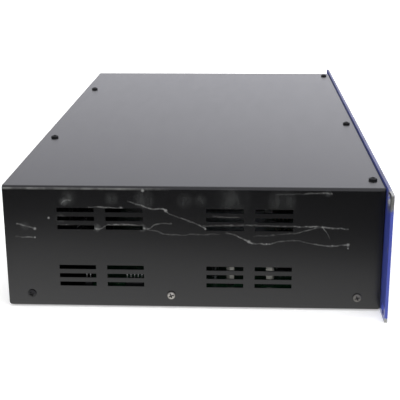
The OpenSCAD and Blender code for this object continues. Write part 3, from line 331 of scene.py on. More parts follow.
# corner, reach of the wear in millimetres along the edge and across it
CORNERS = [((panel_low.x, panel_high.z), 11.5), ((panel_low.x, panel_low.z), 3.2),
           ((panel_high.x, panel_high.z), 2.6), ((panel_high.x, panel_low.z), 2.0)]
for (x, z), reach in CORNERS:
    flat = add(tree, "ShaderNodeCombineXYZ", {"Y": 0.0}, {"X": axes.outputs["X"], "Z": axes.outputs["Z"]})
    gap = add(tree, "ShaderNodeVectorMath", {"operation": "DISTANCE", 1: (x, 0, z)}, {0: flat})
    ragged = add(tree, "ShaderNodeMath", {"operation": "MULTIPLY_ADD", 1: -reach * 1.6 * mm},
                 {0: chip, 2: gap.outputs["Value"]})
    wear_and_bend_highlight = add(tree, "ShaderNodeMapRange", {"From Min": 0.25 * reach * mm, "From Max": -0.05 * reach * mm},
               {"Value": ragged})
    bare = wear_and_bend_highlight if bare is None else add(tree, "ShaderNodeMath", {"operation": "MAXIMUM"}, {0: bare, 1: wear_and_bend_highlight})
# paint rubbed pale round the upper left rack slot, and a chip halfway down that ear
slot_spot = (panel_low.x + 8.75 * mm, 0, panel_high.z - 5.95 * mm)
from_slot = add(tree, "ShaderNodeVectorMath", {"operation": "DISTANCE", 1: slot_spot}, {0: flat})
ring = add(tree, "ShaderNodeMapRange", {"From Min": 9 * mm, "From Max": 5.5 * mm}, {"Value": from_slot.outputs["Value"]})
ring_chips = add(tree, "ShaderNodeMapRange", {"From Min": 0.42, "From Max": 0.56}, {"Value": chip})
ear_chip_spot = (panel_low.x + 3.5 * mm, 0, 6 * mm)
tall_place = add(tree, "ShaderNodeVectorMath", {"operation": "SUBTRACT", 1: ear_chip_spot}, {0: flat})
squeezed = add(tree, "ShaderNodeVectorMath", {"operation": "MULTIPLY", 1: (1, 1, 0.35)}, {0: tall_place})
from_chip = add(tree, "ShaderNodeVectorMath", {"operation": "LENGTH"}, {0: squeezed})
ear_chip = add(tree, "ShaderNodeMapRange", {"From Min": 1.0 * mm, "From Max": 0.5 * mm, "To Max": 0.8},
               {"Value": from_chip.outputs["Value"]})
bare = largest(tree, [bare, times(tree, ring, ring_chips), ear_chip])
# faces that look up turn dark grey: partly thin paint on the sheared edges, partly painted shade
looks = add(tree, "ShaderNodeSeparateXYZ", {}, {0: add(tree, "ShaderNodeNewGeometry").outputs["Normal"]})
faces_up = add(tree, "ShaderNodeMath", {"operation": "GREATER_THAN", 1: 0.7}, {0: looks.outputs["Z"]})
thin_paint_and_shade_share = add(tree, "ShaderNodeMapRange", {"From Min": 0.3, "From Max": 0.7, "To Min": 0.55, "To Max": 0.9},
                 {"Value": cloud})
paint = add(tree, "ShaderNodeMix", {"data_type": "RGBA", 7: linear("#3f3e4c")},
            {0: times(tree, faces_up, thin_paint_and_shade_share), 6: paint.outputs["Result"]})
steel = add(tree, "ShaderNodeMix", {"data_type": "RGBA", 6: linear("#8c8d8c"), 7: linear("#c4c4c0")}, {0: speck})
mixed = add(tree, "ShaderNodeMix", {"data_type": "RGBA"},
            {0: bare, 6: paint.outputs["Result"], 7: steel.outputs["Result"]})
metal = add(tree, "ShaderNodeMath", {"operation": "MULTIPLY", 1: 0.85}, {0: bare})
sheen = add(tree, "ShaderNodeMapRange", {"From Min": 0.3, "From Max": 0.7, "To Min": 0.3, "To Max": 0.4},
            {"Value": cloud})
relief = add(tree, "ShaderNodeBump", {"Strength": 0.3, "Distance": 0.02 * mm}, {"Height": speck})
step = add(tree, "ShaderNodeBump", {"Strength": 0.5, "Distance": 0.06 * mm, "invert": True},
           {"Height": bare, "Normal": relief})
tree.links.new(mixed.outputs["Result"], shader.inputs["Base Color"])
tree.links.new(metal.outputs[0], shader.inputs["Metallic"])
tree.links.new(sheen.outputs[0], shader.inputs["Roughness"])
tree.links.new(step.outputs[0], shader.inputs["Normal"])
print("satin_blue_spray_paint: slot at", [round(c, 4) for c in slot_spot], "bare steel at", len(CORNERS), "corners")

# %% [markdown]
# ## Metals
#
# Zinc plating is a bluish crystalline skin, so its grain is coarse and its gloss patchy. Tin plate
# and rolled aluminium keep the fine lines of rolling, drawn out along one axis. Black oxide on a
# screw is thin, oily and nearly smooth. Gold plate on contacts is smooth and warm. Metals keep the
# shader's own index of refraction: their colour does the work.

# %% Plated, rolled and turned metals
zinc_plate = grained("zinc_plated_steel", "#a9adb0", "#cdd0d2", 2.5, (0.28, 0.42), 0.02, metallic=1.0)
rack_screw_plate = grained("nickel_plated_steel", "#bdb9b2", "#dedbd4", 0.8, (0.2, 0.32), 0.01, metallic=1.0)
black_oxide = grained("black_oxide_steel", "#0c0c0d", "#1b1b1d", 0.5, (0.32, 0.45), 0.01, metallic=0.4)
tin_plate = grained("tin_plated_sheet", "#b5b7b6", "#d3d5d3", 0.7, (0.25, 0.36), 0.008, metallic=1.0, drawn=(1, 0.1, 1))
gold_plate = grained("gold_plated_bronze", "#c79a3f", "#e0bb62", 0.4, (0.18, 0.26), 0.004, metallic=1.0)
turned_brass = grained("turned_brass", "#b39a58", "#d1bb7c", 0.4, (0.25, 0.35), 0.01, metallic=1.0, drawn=(1, 1, 6))
anodised = grained("anodised_aluminium", "#8c9094", "#a7abae", 0.5, (0.35, 0.48), 0.01, metallic=1.0, drawn=(1, 0.08, 1))
enamelled_copper = grained("enamelled_copper_wire", "#8f4a1f", "#b8672e", 1.2, (0.2, 0.3), 0.02, metallic=0.9)

# %% [markdown]
# ## Plastics, rubber and ceramics
#
# Moulded housings copy the texture of the tool, a fine spark-eroded grain. Insulation is extruded
# and smooth, heat-shrink sleeve is glossy, ferrite is pressed powder, and tape shows its layers.

# %% Moulded and pressed parts
chip_epoxy = grained("moulded_chip_epoxy", "#17181a", "#232427", 0.3, (0.5, 0.65), 0.01)
black_plastic = grained("black_moulded_polyester", "#121214", "#1d1e20", 0.35, (0.38, 0.5), 0.015)
white_nylon = grained("natural_nylon", "#d9d7cd", "#ebeae2", 0.9, (0.35, 0.45), 0.01, patch=6)
grey_plastic = grained("grey_moulded_abs", "#a9abab", "#bcbebd", 0.4, (0.35, 0.45), 0.012)
red_plastic = grained("red_moulded_abs", "#8d1c16", "#a92a20", 0.4, (0.3, 0.4), 0.01)
sleeve = grained("shrink_sleeve", "#16204a", "#22306a", 1.5, (0.2, 0.3), 0.01)
polyester_tape = grained("yellow_polyester_tape", "#c99a2e", "#e0b54a", 0.8, (0.25, 0.35), 0.02, drawn=(0.1, 0.1, 1))
yellow_case = grained("yellow_moulded_case", "#c4a22c", "#d9ba44", 0.5, (0.4, 0.5), 0.01)
ferrite = grained("sintered_ferrite", "#2a2b2c", "#3a3b3c", 0.4, (0.6, 0.75), 0.02)
black_pvc = grained("black_pvc_insulation", "#141415", "#202022", 1.0, (0.35, 0.45), 0.01)
red_pvc = grained("red_pvc_insulation", "#7d1712", "#9c231b", 1.0, (0.35, 0.45), 0.01)
ribbon = grained("grey_ribbon_cable", "#7c7f83", "#9b9ea2", 1.27, (0.4, 0.5), 0.12, drawn=(1, 0.02, 0.02))
diffused_green = grained("diffused_green_epoxy", "#5f9a66", "#86c08c", 0.5, (0.25, 0.35), 0.005)
white_ink = grained("white_screen_ink", "#d5d6d8", "#e9eaeb", 0.3, (0.45, 0.55), 0.005)

# %% [markdown]
# ## Clear parts
#
# The lamp window is smoked acrylic, dark but see-through. The insulating sheet under the supply is
# milky film. Both let light through, so transmission is set on the shader, and a grain in the
# roughness keeps them from looking like nothing at all.

# %% Smoked window, milky film and fuse glass
smoked_window = grained("smoked_acrylic", "#4a4f56", "#555b62", 3.0, (0.05, 0.1), 0.003)
smoked_window.node_tree.nodes["Principled BSDF"].inputs["Transmission Weight"].default_value = 0.85
smoked_window.node_tree.nodes["Principled BSDF"].inputs["IOR"].default_value = 1.49
milky_film = grained("milky_polyester_film", "#b9bab4", "#cfd0ca", 4.0, (0.3, 0.42), 0.01)
milky_film.node_tree.nodes["Principled BSDF"].inputs["Transmission Weight"].default_value = 0.25

# %% [markdown]
# The fuse is one piece in the frame: a glass tube with a plated cap at each end, held in two clips.
# Caps and clips sit at the ends, so a band along Y separates metal from glass.

# %% Fuse of glass and plated brass
fuse_low, fuse_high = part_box("mains_fuse")
fuse_finish, tree, shader, place = start_finish("fuse_glass_and_plated_caps")
axes = add(tree, "ShaderNodeSeparateXYZ", {}, {0: place})
smudge = add(tree, "ShaderNodeTexNoise", {"Scale": per_metre(2), "Detail": 3.0}, {"Vector": place})
in_middle = add(tree, "ShaderNodeMath", {"operation": "COMPARE", 1: (fuse_low.y + fuse_high.y) / 2,
                                         2: (fuse_high.y - fuse_low.y) * 0.23}, {0: axes.outputs["Y"]})
plated = add(tree, "ShaderNodeMix", {"data_type": "RGBA", 6: linear("#b9b6a8"), 7: linear("#d8d6ca")}, {0: smudge})
glassy = add(tree, "ShaderNodeMix", {"data_type": "RGBA", 7: linear("#dfe6e3")},
             {0: in_middle, 6: plated.outputs["Result"]})
is_metal = add(tree, "ShaderNodeMath", {"operation": "SUBTRACT", 0: 1.0}, {1: in_middle})
gloss = add(tree, "ShaderNodeMapRange", {"To Min": 0.12, "To Max": 0.3}, {"Value": smudge})
see_through = add(tree, "ShaderNodeMath", {"operation": "MULTIPLY", 1: 0.8}, {0: in_middle})
tree.links.new(glassy.outputs["Result"], shader.inputs["Base Color"])
tree.links.new(is_metal.outputs[0], shader.inputs["Metallic"])
tree.links.new(gloss.outputs[0], shader.inputs["Roughness"])
tree.links.new(see_through.outputs[0], shader.inputs["Transmission Weight"])
print("fuse between", round(fuse_low.y, 4), "and", round(fuse_high.y, 4))

# %% [markdown]
# ## Circuit boards
#
# A board is glass-fibre laminate with copper tracks under a green varnish. Tracks show as lighter
# lines that run square to each other, a millimetre or two apart, with round vias between them. A
# Brick texture gives the square runs, and a Voronoi texture the vias. The supply board is cheaper:
# tan paper laminate with no varnish on top.

# %% Green varnished board
board_green, tree, shader, place = start_finish("green_solder_mask")
speck = add(tree, "ShaderNodeTexNoise", {"Scale": per_metre(0.7), "Detail": 2.0}, {"Vector": place})
runs = add(tree, "ShaderNodeTexBrick", {"Scale": per_metre(9), "Mortar Size": 0.05, "Mortar Smooth": 0.1,
                                        "Brick Width": 1.7, "Row Height": 0.19, "offset": 0.37, "Color1": (1, 1, 1, 1),
                                        "Color2": (0.7, 0.7, 0.7, 1), "Mortar": (0, 0, 0, 1)}, {"Vector": place})
vias = add(tree, "ShaderNodeTexVoronoi", {"Scale": per_metre(5.5)}, {"Vector": place})
via = add(tree, "ShaderNodeMath", {"operation": "LESS_THAN", 1: 0.09}, {0: vias.outputs["Distance"]})
mask_tone = add(tree, "ShaderNodeMix", {"data_type": "RGBA", 6: linear("#1f5536"), 7: linear("#123a24")}, {0: runs})
with_vias = add(tree, "ShaderNodeMix", {"data_type": "RGBA", 7: linear("#c9c3a2")},
                {0: via, 6: mask_tone.outputs["Result"]})
gloss = add(tree, "ShaderNodeMapRange", {"To Min": 0.28, "To Max": 0.42}, {"Value": speck})
relief = add(tree, "ShaderNodeBump", {"Strength": 0.5, "Distance": 0.03 * mm, "invert": True}, {"Height": runs})
tree.links.new(with_vias.outputs["Result"], shader.inputs["Base Color"])
tree.links.new(gloss.outputs[0], shader.inputs["Roughness"])
tree.links.new(relief.outputs[0], shader.inputs["Normal"])
board_tan = grained("tan_paper_laminate", "#9c7836", "#b8924a", 1.4, (0.45, 0.58), 0.02, drawn=(0.3, 1, 1))

# %% [markdown]
# The mains lead is one piece of the frame with three colours of insulation and a white plug. The
# plug is the block that stands over the supply board, and the earth wire is the one that runs
# highest and furthest from it, so height and place along X tell them apart.

# %% Mains lead: brown, blue, green and the white plug
lead_low, lead_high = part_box("mains_lead")
stud_low, stud_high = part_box("ground_stud")
plug_top = supply_high.z + 10.2 * mm
mains_finish, tree, shader, place = start_finish("pvc_mains_wires")
axes = add(tree, "ShaderNodeSeparateXYZ", {}, {0: place})
grain = add(tree, "ShaderNodeTexNoise", {"Scale": per_metre(1.0), "Detail": 2.0}, {"Vector": place})
brown = add(tree, "ShaderNodeMix", {"data_type": "RGBA", 6: linear("#54311a"), 7: linear("#6b4224")}, {0: grain})
stripes = add(tree, "ShaderNodeTexWave", {"Scale": per_metre(28), "bands_direction": "DIAGONAL"}, {"Vector": place})
striped = add(tree, "ShaderNodeMath", {"operation": "GREATER_THAN", 1: 0.5}, {0: stripes})
earth = add(tree, "ShaderNodeMix", {"data_type": "RGBA", 6: linear("#3f7a33"), 7: linear("#c7b638")}, {0: striped})
high = add(tree, "ShaderNodeMath", {"operation": "GREATER_THAN", 1: -2 * mm}, {0: axes.outputs["Z"]})
near_stud = add(tree, "ShaderNodeMath", {"operation": "LESS_THAN", 1: stud_high.x + 20 * mm}, {0: axes.outputs["X"]})
near_rear = add(tree, "ShaderNodeMath", {"operation": "GREATER_THAN", 1: stud_low.y - 40 * mm}, {0: axes.outputs["Y"]})
is_earth = times(tree, largest(tree, [high, near_stud]), near_rear)
wires = add(tree, "ShaderNodeMix", {"data_type": "RGBA"},
            {0: is_earth, 6: brown.outputs["Result"], 7: earth.outputs["Result"]})
in_plug = add(tree, "ShaderNodeMath", {"operation": "LESS_THAN", 1: plug_top}, {0: axes.outputs["Z"]})
lead_colour = add(tree, "ShaderNodeMix", {"data_type": "RGBA", 7: linear("#e2e0d6")},
                  {0: in_plug, 6: wires.outputs["Result"]})
gloss = add(tree, "ShaderNodeMapRange", {"To Min": 0.33, "To Max": 0.46}, {"Value": grain})
relief = add(tree, "ShaderNodeBump", {"Strength": 0.4, "Distance": 0.02 * mm}, {"Height": grain})
tree.links.new(lead_colour.outputs["Result"], shader.inputs["Base Color"])
tree.links.new(gloss.outputs[0], shader.inputs["Roughness"])
tree.links.new(relief.outputs[0], shader.inputs["Normal"])

# %% [markdown]
# A can capacitor is drawn aluminium. On the supply it wears a printed sleeve that leaves the top
# bare, on the main board the can is bare all over. The direction a face looks in tells the top from
# the side, and the place along X tells the two boards apart.

# %% Capacitor cans, sleeved and bare
can_finish, tree, shader, place = start_finish("sleeved_aluminium_can")
axes = add(tree, "ShaderNodeSeparateXYZ", {}, {0: place})
looks = add(tree, "ShaderNodeSeparateXYZ", {}, {0: add(tree, "ShaderNodeNewGeometry").outputs["Normal"]})
grain = add(tree, "ShaderNodeTexNoise", {"Scale": per_metre(4), "Detail": 3.0}, {"Vector": place})
is_top = add(tree, "ShaderNodeMath", {"operation": "GREATER_THAN", 1: 0.7}, {0: looks.outputs["Z"]})
is_main = add(tree, "ShaderNodeMath", {"operation": "LESS_THAN", 1: (board_high.x + supply_low.x) / 2},
              {0: axes.outputs["X"]})
bare_can = largest(tree, [is_top, is_main])
sleeve_tone = add(tree, "ShaderNodeMix", {"data_type": "RGBA", 6: linear("#16204a"), 7: linear("#22306a")}, {0: grain})
can_tone = add(tree, "ShaderNodeMix", {"data_type": "RGBA", 6: linear("#b0b2b3"), 7: linear("#c4c6c7")}, {0: grain})
can_colour = add(tree, "ShaderNodeMix", {"data_type": "RGBA"},
                 {0: bare_can, 6: sleeve_tone.outputs["Result"], 7: can_tone.outputs["Result"]})
gloss = add(tree, "ShaderNodeMapRange", {"To Min": 0.2, "To Max": 0.34}, {"Value": grain})
relief = add(tree, "ShaderNodeBump", {"Strength": 0.5, "Distance": 0.01 * mm}, {"Height": grain})
tree.links.new(can_colour.outputs["Result"], shader.inputs["Base Color"])
tree.links.new(bare_can.outputs[0], shader.inputs["Metallic"])
tree.links.new(gloss.outputs[0], shader.inputs["Roughness"])
tree.links.new(relief.outputs[0], shader.inputs["Normal"])
print("capacitor cans: bare below X =", round((board_high.x + supply_low.x) / 2, 4))

# %% [markdown]
# The plugs of the fan leads are moulded nylon with a slot for each contact, so upright grooves run
# down them, darkened with painted shade. Each stands on a black header.

# %% Grooved nylon plugs on black headers
plug_low, plug_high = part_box("fan_plugs")
plug_finish, tree, shader, place = start_finish("grooved_nylon_plug")
axes = add(tree, "ShaderNodeSeparateXYZ", {}, {0: place})
grain = add(tree, "ShaderNodeTexNoise", {"Scale": per_metre(0.9), "Detail": 3.0}, {"Vector": place})
grooves = add(tree, "ShaderNodeTexWave", {"Scale": per_metre(1.27) / 20, "bands_direction": "Y", "Distortion": 0.0},
              {"Vector": place})
# painted shade in the grooves
dark = add(tree, "ShaderNodeMapRange", {"From Min": 0.35, "From Max": 0.1, "To Max": 0.75}, {"Value": grooves})
nylon = add(tree, "ShaderNodeMix", {"data_type": "RGBA", 6: linear("#cfcdc4"), 7: linear("#e4e3dc")}, {0: grain})
grooved = add(tree, "ShaderNodeMix", {"data_type": "RGBA", 7: linear("#3c3b38")}, {0: dark, 6: nylon.outputs["Result"]})
is_header = add(tree, "ShaderNodeMath", {"operation": "LESS_THAN", 1: plug_low.z + 3.25 * mm}, {0: axes.outputs["Z"]})
plug_colour = add(tree, "ShaderNodeMix", {"data_type": "RGBA", 7: linear("#161618")},
                  {0: is_header, 6: grooved.outputs["Result"]})
gloss = add(tree, "ShaderNodeMapRange", {"To Min": 0.35, "To Max": 0.48}, {"Value": grain})
relief = add(tree, "ShaderNodeBump", {"Strength": 0.8, "Distance": 0.3 * mm}, {"Height": grooves})
tree.links.new(plug_colour.outputs["Result"], shader.inputs["Base Color"])
tree.links.new(gloss.outputs[0], shader.inputs["Roughness"])
tree.links.new(relief.outputs[0], shader.inputs["Normal"])
print("fan plugs stand at", round(plug_low.z, 4))

# %% [markdown]
# The plated screws on the sides are older than the rest: the plating is mottled. The cross recess
# gets painted shade, the rim of the head a painted dark reflection, and the screws towards the front
# are darker all over. Each head lies on its own axis along X, so the distance from the nearest axis
# finds the rim, and the depth below the head's face the recess.

# %% Mottled plated screws with painted shade in the recess and a painted dark rim
def screw_axes(piece):
    """(y, z) of each head: the corners of the mesh are sorted along Y and split where a gap is."""
    corners = sorted((v.co.y, v.co.z) for v in piece.data.vertices)
    groups = [[corners[0]]]
    for corner in corners[1:]:
        if corner[0] - groups[-1][-1][0] > 20 * mm:
            groups.append([])
        groups[-1].append(corner)
    return [tuple((min(c[i] for c in g) + max(c[i] for c in g)) / 2 for i in (0, 1)) for g in groups]


screw_low, screw_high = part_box("plated_cover_screws")
screw_finish, tree, shader, place = start_finish("mottled_nickel_plate_with_painted_shade")
axes = add(tree, "ShaderNodeSeparateXYZ", {}, {0: place})
side_place = add(tree, "ShaderNodeVectorMath", {"operation": "MULTIPLY", 1: (0, 1, 1)}, {0: place})
nearest = None
for y, z in screw_axes(nodes["plated_cover_screws"]):
    gap = add(tree, "ShaderNodeVectorMath", {"operation": "DISTANCE", 1: (0, y, z)}, {0: side_place}).outputs["Value"]
    nearest = gap if nearest is None else add(tree, "ShaderNodeMath", {"operation": "MINIMUM"}, {0: nearest, 1: gap})
out_x = add(tree, "ShaderNodeMath", {"operation": "ABSOLUTE"}, {0: axes.outputs["X"]})
mottle = add(tree, "ShaderNodeTexNoise", {"Scale": per_metre(1.6), "Detail": 4.0, "Roughness": 0.65}, {"Vector": place})
# painted dark reflection round the rim of each head
dark_rim_reflection = add(tree, "ShaderNodeMapRange", {"From Min": 2.3 * mm, "From Max": 3.0 * mm}, {"Value": nearest})
# painted shade in the cross recess
recess_shade = add(tree, "ShaderNodeMapRange", {"From Min": screw_high.x - 0.25 * mm, "From Max": screw_high.x - 0.75 * mm},
           {"Value": out_x})
spots = add(tree, "ShaderNodeMapRange", {"From Min": 0.46, "From Max": 0.62}, {"Value": mottle})
worn_share = add(tree, "ShaderNodeMath", {"operation": "MULTIPLY", 1: 0.7}, {0: spots})
at_front = add(tree, "ShaderNodeMath", {"operation": "LESS_THAN", 1: middle_y - 50 * mm}, {0: axes.outputs["Y"]})
# the screws towards the front are darker all over
front_darker = add(tree, "ShaderNodeMath", {"operation": "MULTIPLY", 1: 0.75}, {0: at_front})
# mottled plate together with the painted shade and the painted dark rim
mottle_and_shade = largest(tree, [dark_rim_reflection, recess_shade, worn_share, front_darker])
plate = add(tree, "ShaderNodeMix", {"data_type": "RGBA", 6: linear("#c6c2bb"), 7: linear("#2d2c2b")}, {0: mottle_and_shade})
metal_share = add(tree, "ShaderNodeMath", {"operation": "MULTIPLY_ADD", 1: -0.5, 2: 1.0}, {0: mottle_and_shade})
gloss = add(tree, "ShaderNodeMapRange", {"To Min": 0.3, "To Max": 0.6}, {"Value": mottle_and_shade})
relief = add(tree, "ShaderNodeBump", {"Strength": 0.6, "Distance": 0.03 * mm}, {"Height": mottle})
tree.links.new(plate.outputs["Result"], shader.inputs["Base Color"])
tree.links.new(metal_share.outputs[0], shader.inputs["Metallic"])
tree.links.new(gloss.outputs[0], shader.inputs["Roughness"])
tree.links.new(relief.outputs[0], shader.inputs["Normal"])
print("plated screws at", [(round(y, 4), round(z, 4)) for y, z in screw_axes(nodes["plated_cover_screws"])])

# %% [markdown]
# Every piece of the frame names a material slot in its record. One table says which finish fills
# each slot, and a second one names the few pieces whose real finish differs from the rest of their
# slot. The shapes of the frame stay as they are: only their finish is set.

# %% Give every piece its finish
SLOT_FINISH = {
    "black_paint": black_paint, "blue_paint": blue_paint, "zinc_steel": zinc_plate,
    "blackened_steel": black_oxide, "tinned_steel": tin_plate, "gold_plate": gold_plate,
    "brass_post": turned_brass, "aluminium": anodised, "copper_wire": enamelled_copper,
    "board_green": board_green, "board_tan": board_tan, "chip_black": chip_epoxy,
    "black_plastic": black_plastic, "white_nylon": white_nylon, "grey_plastic": grey_plastic,
    "red_plastic": red_plastic, "smoked_window": smoked_window, "green_lamp": diffused_green,
    "capacitor_sleeve": sleeve, "yellow_tape": polyester_tape, "yellow_case": yellow_case,
    "ferrite": ferrite, "clear_film": milky_film, "black_wire": black_pvc, "red_wire": red_pvc,
    "brown_wire": mains_finish, "ribbon_grey": ribbon, "fuse_glass": fuse_finish,
}
PIECE_FINISH = {"plated_cover_screws": screw_finish, "small_capacitors": can_finish, "bulk_capacitor": can_finish,
                "fan_plugs": plug_finish, "board_coils": ferrite, "filter_choke": ferrite}
for name, piece in nodes.items():
    slot = piece.data.materials[0].name.split(".")[0] if piece.data.materials else "none"
    finish = PIECE_FINISH.get(name, SLOT_FINISH.get(slot))
    if finish is None:
        print("no finish for", name, "in slot", slot)
        continue
    for index in range(len(piece.data.materials)):
        piece.data.materials[index] = finish
print("finished", len(nodes), "pieces")

# %% [markdown]
# ## Fine pieces
#
# The frame has the parts that are screwed, snapped or soldered in as one. What is missing are the
# small things that make them believable: ink, pins, legs, chip parts and turns of wire. All are
# modelled as by hand, from a primitive that is then pulled, inset or bevelled. A few helpers do the
# clicking: they clear the selection, pick faces or edges by a test, copy a piece with a mesh of its
# own, and join pieces into one.

# %% Helpers for modelling
def deselect():
    bpy.ops.object.select_all(action="DESELECT")


def block(name, low, high):
    """A cube primitive stretched between two corners, with its place in its mesh."""
    low, high = Vector(low), Vector(high)
    deselect()
    bpy.ops.mesh.primitive_cube_add(size=1, location=(low + high) / 2, scale=high - low)
    piece = bpy.context.active_object
    piece.name = name
    bpy.ops.object.transform_apply(location=True, rotation=True, scale=True)
    return piece


def pick(piece, mode, test):
    """Goes into edit mode with only the edges or faces selected that pass the test."""
    bpy.context.view_layer.objects.active = piece
    bpy.ops.object.mode_set(mode="EDIT")
    bpy.ops.mesh.select_mode(type=mode)
    bpy.ops.mesh.select_all(action="DESELECT")
    bpy.ops.object.mode_set(mode="OBJECT")
    if mode == "FACE":
        for face in piece.data.polygons:
            face.select = test(face)
    else:
        corners = piece.data.vertices
        for edge in piece.data.edges:
            edge.select = test(*[corners[i].co for i in edge.vertices])
    bpy.ops.object.mode_set(mode="EDIT")


def edit_done():
    bpy.ops.mesh.select_all(action="SELECT")
    bpy.ops.mesh.normals_make_consistent(inside=False)
    bpy.ops.object.mode_set(mode="OBJECT")


def apply_modifier(piece, name, kind, settings):
    bpy.context.view_layer.objects.active = piece
    modifier = piece.modifiers.new(name, kind)
    for key, value in settings.items():
        setattr(modifier, key, value)
    bpy.ops.object.modifier_apply(modifier=name)


def copy_of(piece, move):
    """A copy with its own mesh, moved by a matrix."""
    twin = piece.copy()
    twin.data = piece.data.copy()
    twin.data.transform(move)
    bpy.context.scene.collection.objects.link(twin)
    return twin


def join(name, pieces):
    deselect()
    for piece in pieces:
        piece.select_set(True)
    bpy.context.view_layer.objects.active = pieces[0]
    if len(pieces) > 1:
        bpy.ops.object.join()
    pieces[0].name = name
    return pieces[0]


def fit(piece, body, finish):
    """Gives a piece its finish and its body."""
    piece.data.materials.clear()
    piece.data.materials.append(finish)
    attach(piece, body)
    print(piece.name, len(piece.data.polygons), "faces on", body)
    return piece

# %% [markdown]
# ### Printed numbers and words
#
# Port numbers and a few words are screen-printed on the panel in white ink, some hundredths of a
# millimetre thick. A mask in the panel's finish could draw them, but real letter shapes are cleaner
# as geometry. A text object gives the shapes and is made a mesh before it is turned and moved. Ports
# are numbered as usual on such panels, odd numbers above and even numbers below.

# %% Print the front panel
INK = 0.03 * mm


def letters(words, at, size, turn):
    deselect()
    bpy.ops.object.text_add()
    text = bpy.context.active_object
    text.data.body = words
    text.data.size = size
    text.data.resolution_u = 3
    text.data.extrude = INK / 2
    text.data.align_x = "CENTER"
    text.data.align_y = "CENTER"
    bpy.ops.object.convert(target="MESH")
    text = bpy.context.active_object
    text.rotation_euler = turn
    text.location = at
    bpy.ops.object.transform_apply(location=True, rotation=True)
    return text


FACE_FRONT = (math.pi / 2, 0, 0)
FACE_REAR = (math.pi / 2, 0, math.pi)
print_y = panel_low.y - INK / 2
openings = {o["name"]: (Vector(o["box_m"][0]) + Vector(o["box_m"][1])) / 2 for o in record["physics"]["openings"]}
block_low, block_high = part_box("port_block_1")
numbers = []
for row, first, level in (("upper", 1, block_high.z + 2.6 * mm), ("lower", 2, block_low.z - 2.8 * mm)):
    columns = sorted(spot.x for name, spot in openings.items() if name.startswith("port_") and name.endswith(row))
    for index, x in enumerate(columns):
        numbers.append(letters(str(first + 2 * index), (x, print_y, level), 2.9 * mm, FACE_FRONT))
cage_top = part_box("uplink_cages")[1].z
last = len(numbers)
for index in (1, 2):
    x = openings["uplink_bay_%d" % index].x
    numbers.append(letters(str(last + index), (x, print_y, cage_top + 2.8 * mm), 2.9 * mm, FACE_FRONT))
fit(join("panel_numbers", numbers), "case", white_ink)
words = []
for word, node, gap in (("MODE", "mode_button", 2.9), ("RESET", "reset_button", 4.6), ("CONSOLE", "console_port", 2.8)):
    low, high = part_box(node)
    words.append(letters(word, ((low.x + high.x) / 2, print_y, high.z + gap * mm), 2.6 * mm, FACE_FRONT))
fit(join("panel_words", words), "case", white_ink)

# %% [markdown]
# The rocker carries its I and O on its two sloping faces. Each mark is dropped straight onto the
# rocker: a ray along Y finds the face below each corner of the letter.

# %% Mark the rocker
rocker = nodes["power_rocker"]
rocker_low, rocker_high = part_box("power_rocker")
rocker_x = (rocker_low.x + rocker_high.x) / 2
rocker_z = (rocker_low.z + rocker_high.z) / 2
marks = []
for mark, level in (("I", 2.6 * mm), ("O", -4.3 * mm)):
    text = letters(mark, (rocker_x, rocker_high.y + 5 * mm, rocker_z + level), 5.5 * mm, FACE_REAR)
    for corner in text.data.vertices:
        hit, spot, normal, face = rocker.ray_cast(corner.co, Vector((0, -1, 0)))
        corner.co.y += spot.y - (rocker_high.y + 5 * mm) + INK
    marks.append(text)
fit(join("rocker_marks", marks), "rocker", white_ink)

# %% [markdown]
# ### Pins and legs
#
# A pin header is a black bar with square tinned pins whose tips are pinched to a point. A chip
# has gull-wing legs: a foot on the board, a rise, and a shoulder that enters the body. One leg is
# pulled out of a plane edge by edge, given its thickness, and repeated by an Array modifier.

# %% Pin headers at the left edge of the main board
PITCH = 2.54 * mm
deck_z = board_high.z


def pin_header(name, x, first_y, count):
    bar = block(name + "_bar", (x - 1.25 * mm, first_y - PITCH / 2, deck_z),
                (x + 1.25 * mm, first_y + (count - 0.5) * PITCH, deck_z + 2.5 * mm))
    apply_modifier(bar, "edges", "BEVEL", {"width": 0.35 * mm, "segments": 2, "limit_method": "ANGLE"})
    fit(bar, "case", black_plastic)
    half = 0.32 * mm
    pin = block(name + "_pins", (x - half, first_y - half, deck_z + 2.4 * mm), (x + half, first_y + half, deck_z + 8 * mm))
    pick(pin, "FACE", lambda face: face.normal.z > 0.5)
    bpy.ops.mesh.inset(thickness=0.18 * mm)
    bpy.ops.transform.translate(value=(0, 0, 0.5 * mm))
    edit_done()
    apply_modifier(pin, "row", "ARRAY", {"count": count, "use_relative_offset": False, "use_constant_offset": True,
                                         "constant_offset_displace": (0, PITCH, 0)})
    fit(pin, "case", tin_plate)


header_x = board_low.x + 3 * mm
pin_header("fan_header_spare", header_x, 163.2 * mm, 5)
pin_header("service_header", header_x, 199.0 * mm, 2)
print("board's left edge", round(board_low.x, 4), "deck", round(deck_z, 4))

# %% Legs of the line chips and the memory chips
def gull_wing(width, rise):
    """One leg that comes out of a body's side at x = 0 and stands on z = 0."""
    deselect()
    bpy.ops.mesh.primitive_plane_add(size=1)
    leg = bpy.context.active_object
    leg.scale = (0.6 * mm, width, 1)
    leg.location = (1.0 * mm, 0, 0.08 * mm)
    bpy.ops.object.transform_apply(location=True, scale=True)
    inner = 0.7 * mm
    pick(leg, "EDGE", lambda a, b: abs(a.x - inner) < 0.01 * mm and abs(b.x - inner) < 0.01 * mm)
    bpy.ops.mesh.extrude_region_move(TRANSFORM_OT_translate={"value": (-0.25 * mm, 0, rise)})
    bpy.ops.mesh.extrude_region_move(TRANSFORM_OT_translate={"value": (-0.5 * mm, 0, 0)})
    edit_done()
    apply_modifier(leg, "sheet", "SOLIDIFY", {"thickness": 0.14 * mm, "offset": 0})
    return leg


def leg_row(leg, count, pitch):
    row = copy_of(leg, Matrix.Translation((0, -(count - 1) / 2 * pitch, 0)))
    apply_modifier(row, "row", "ARRAY", {"count": count, "use_relative_offset": False, "use_constant_offset": True,
                                         "constant_offset_displace": (0, pitch, 0)})
    return row


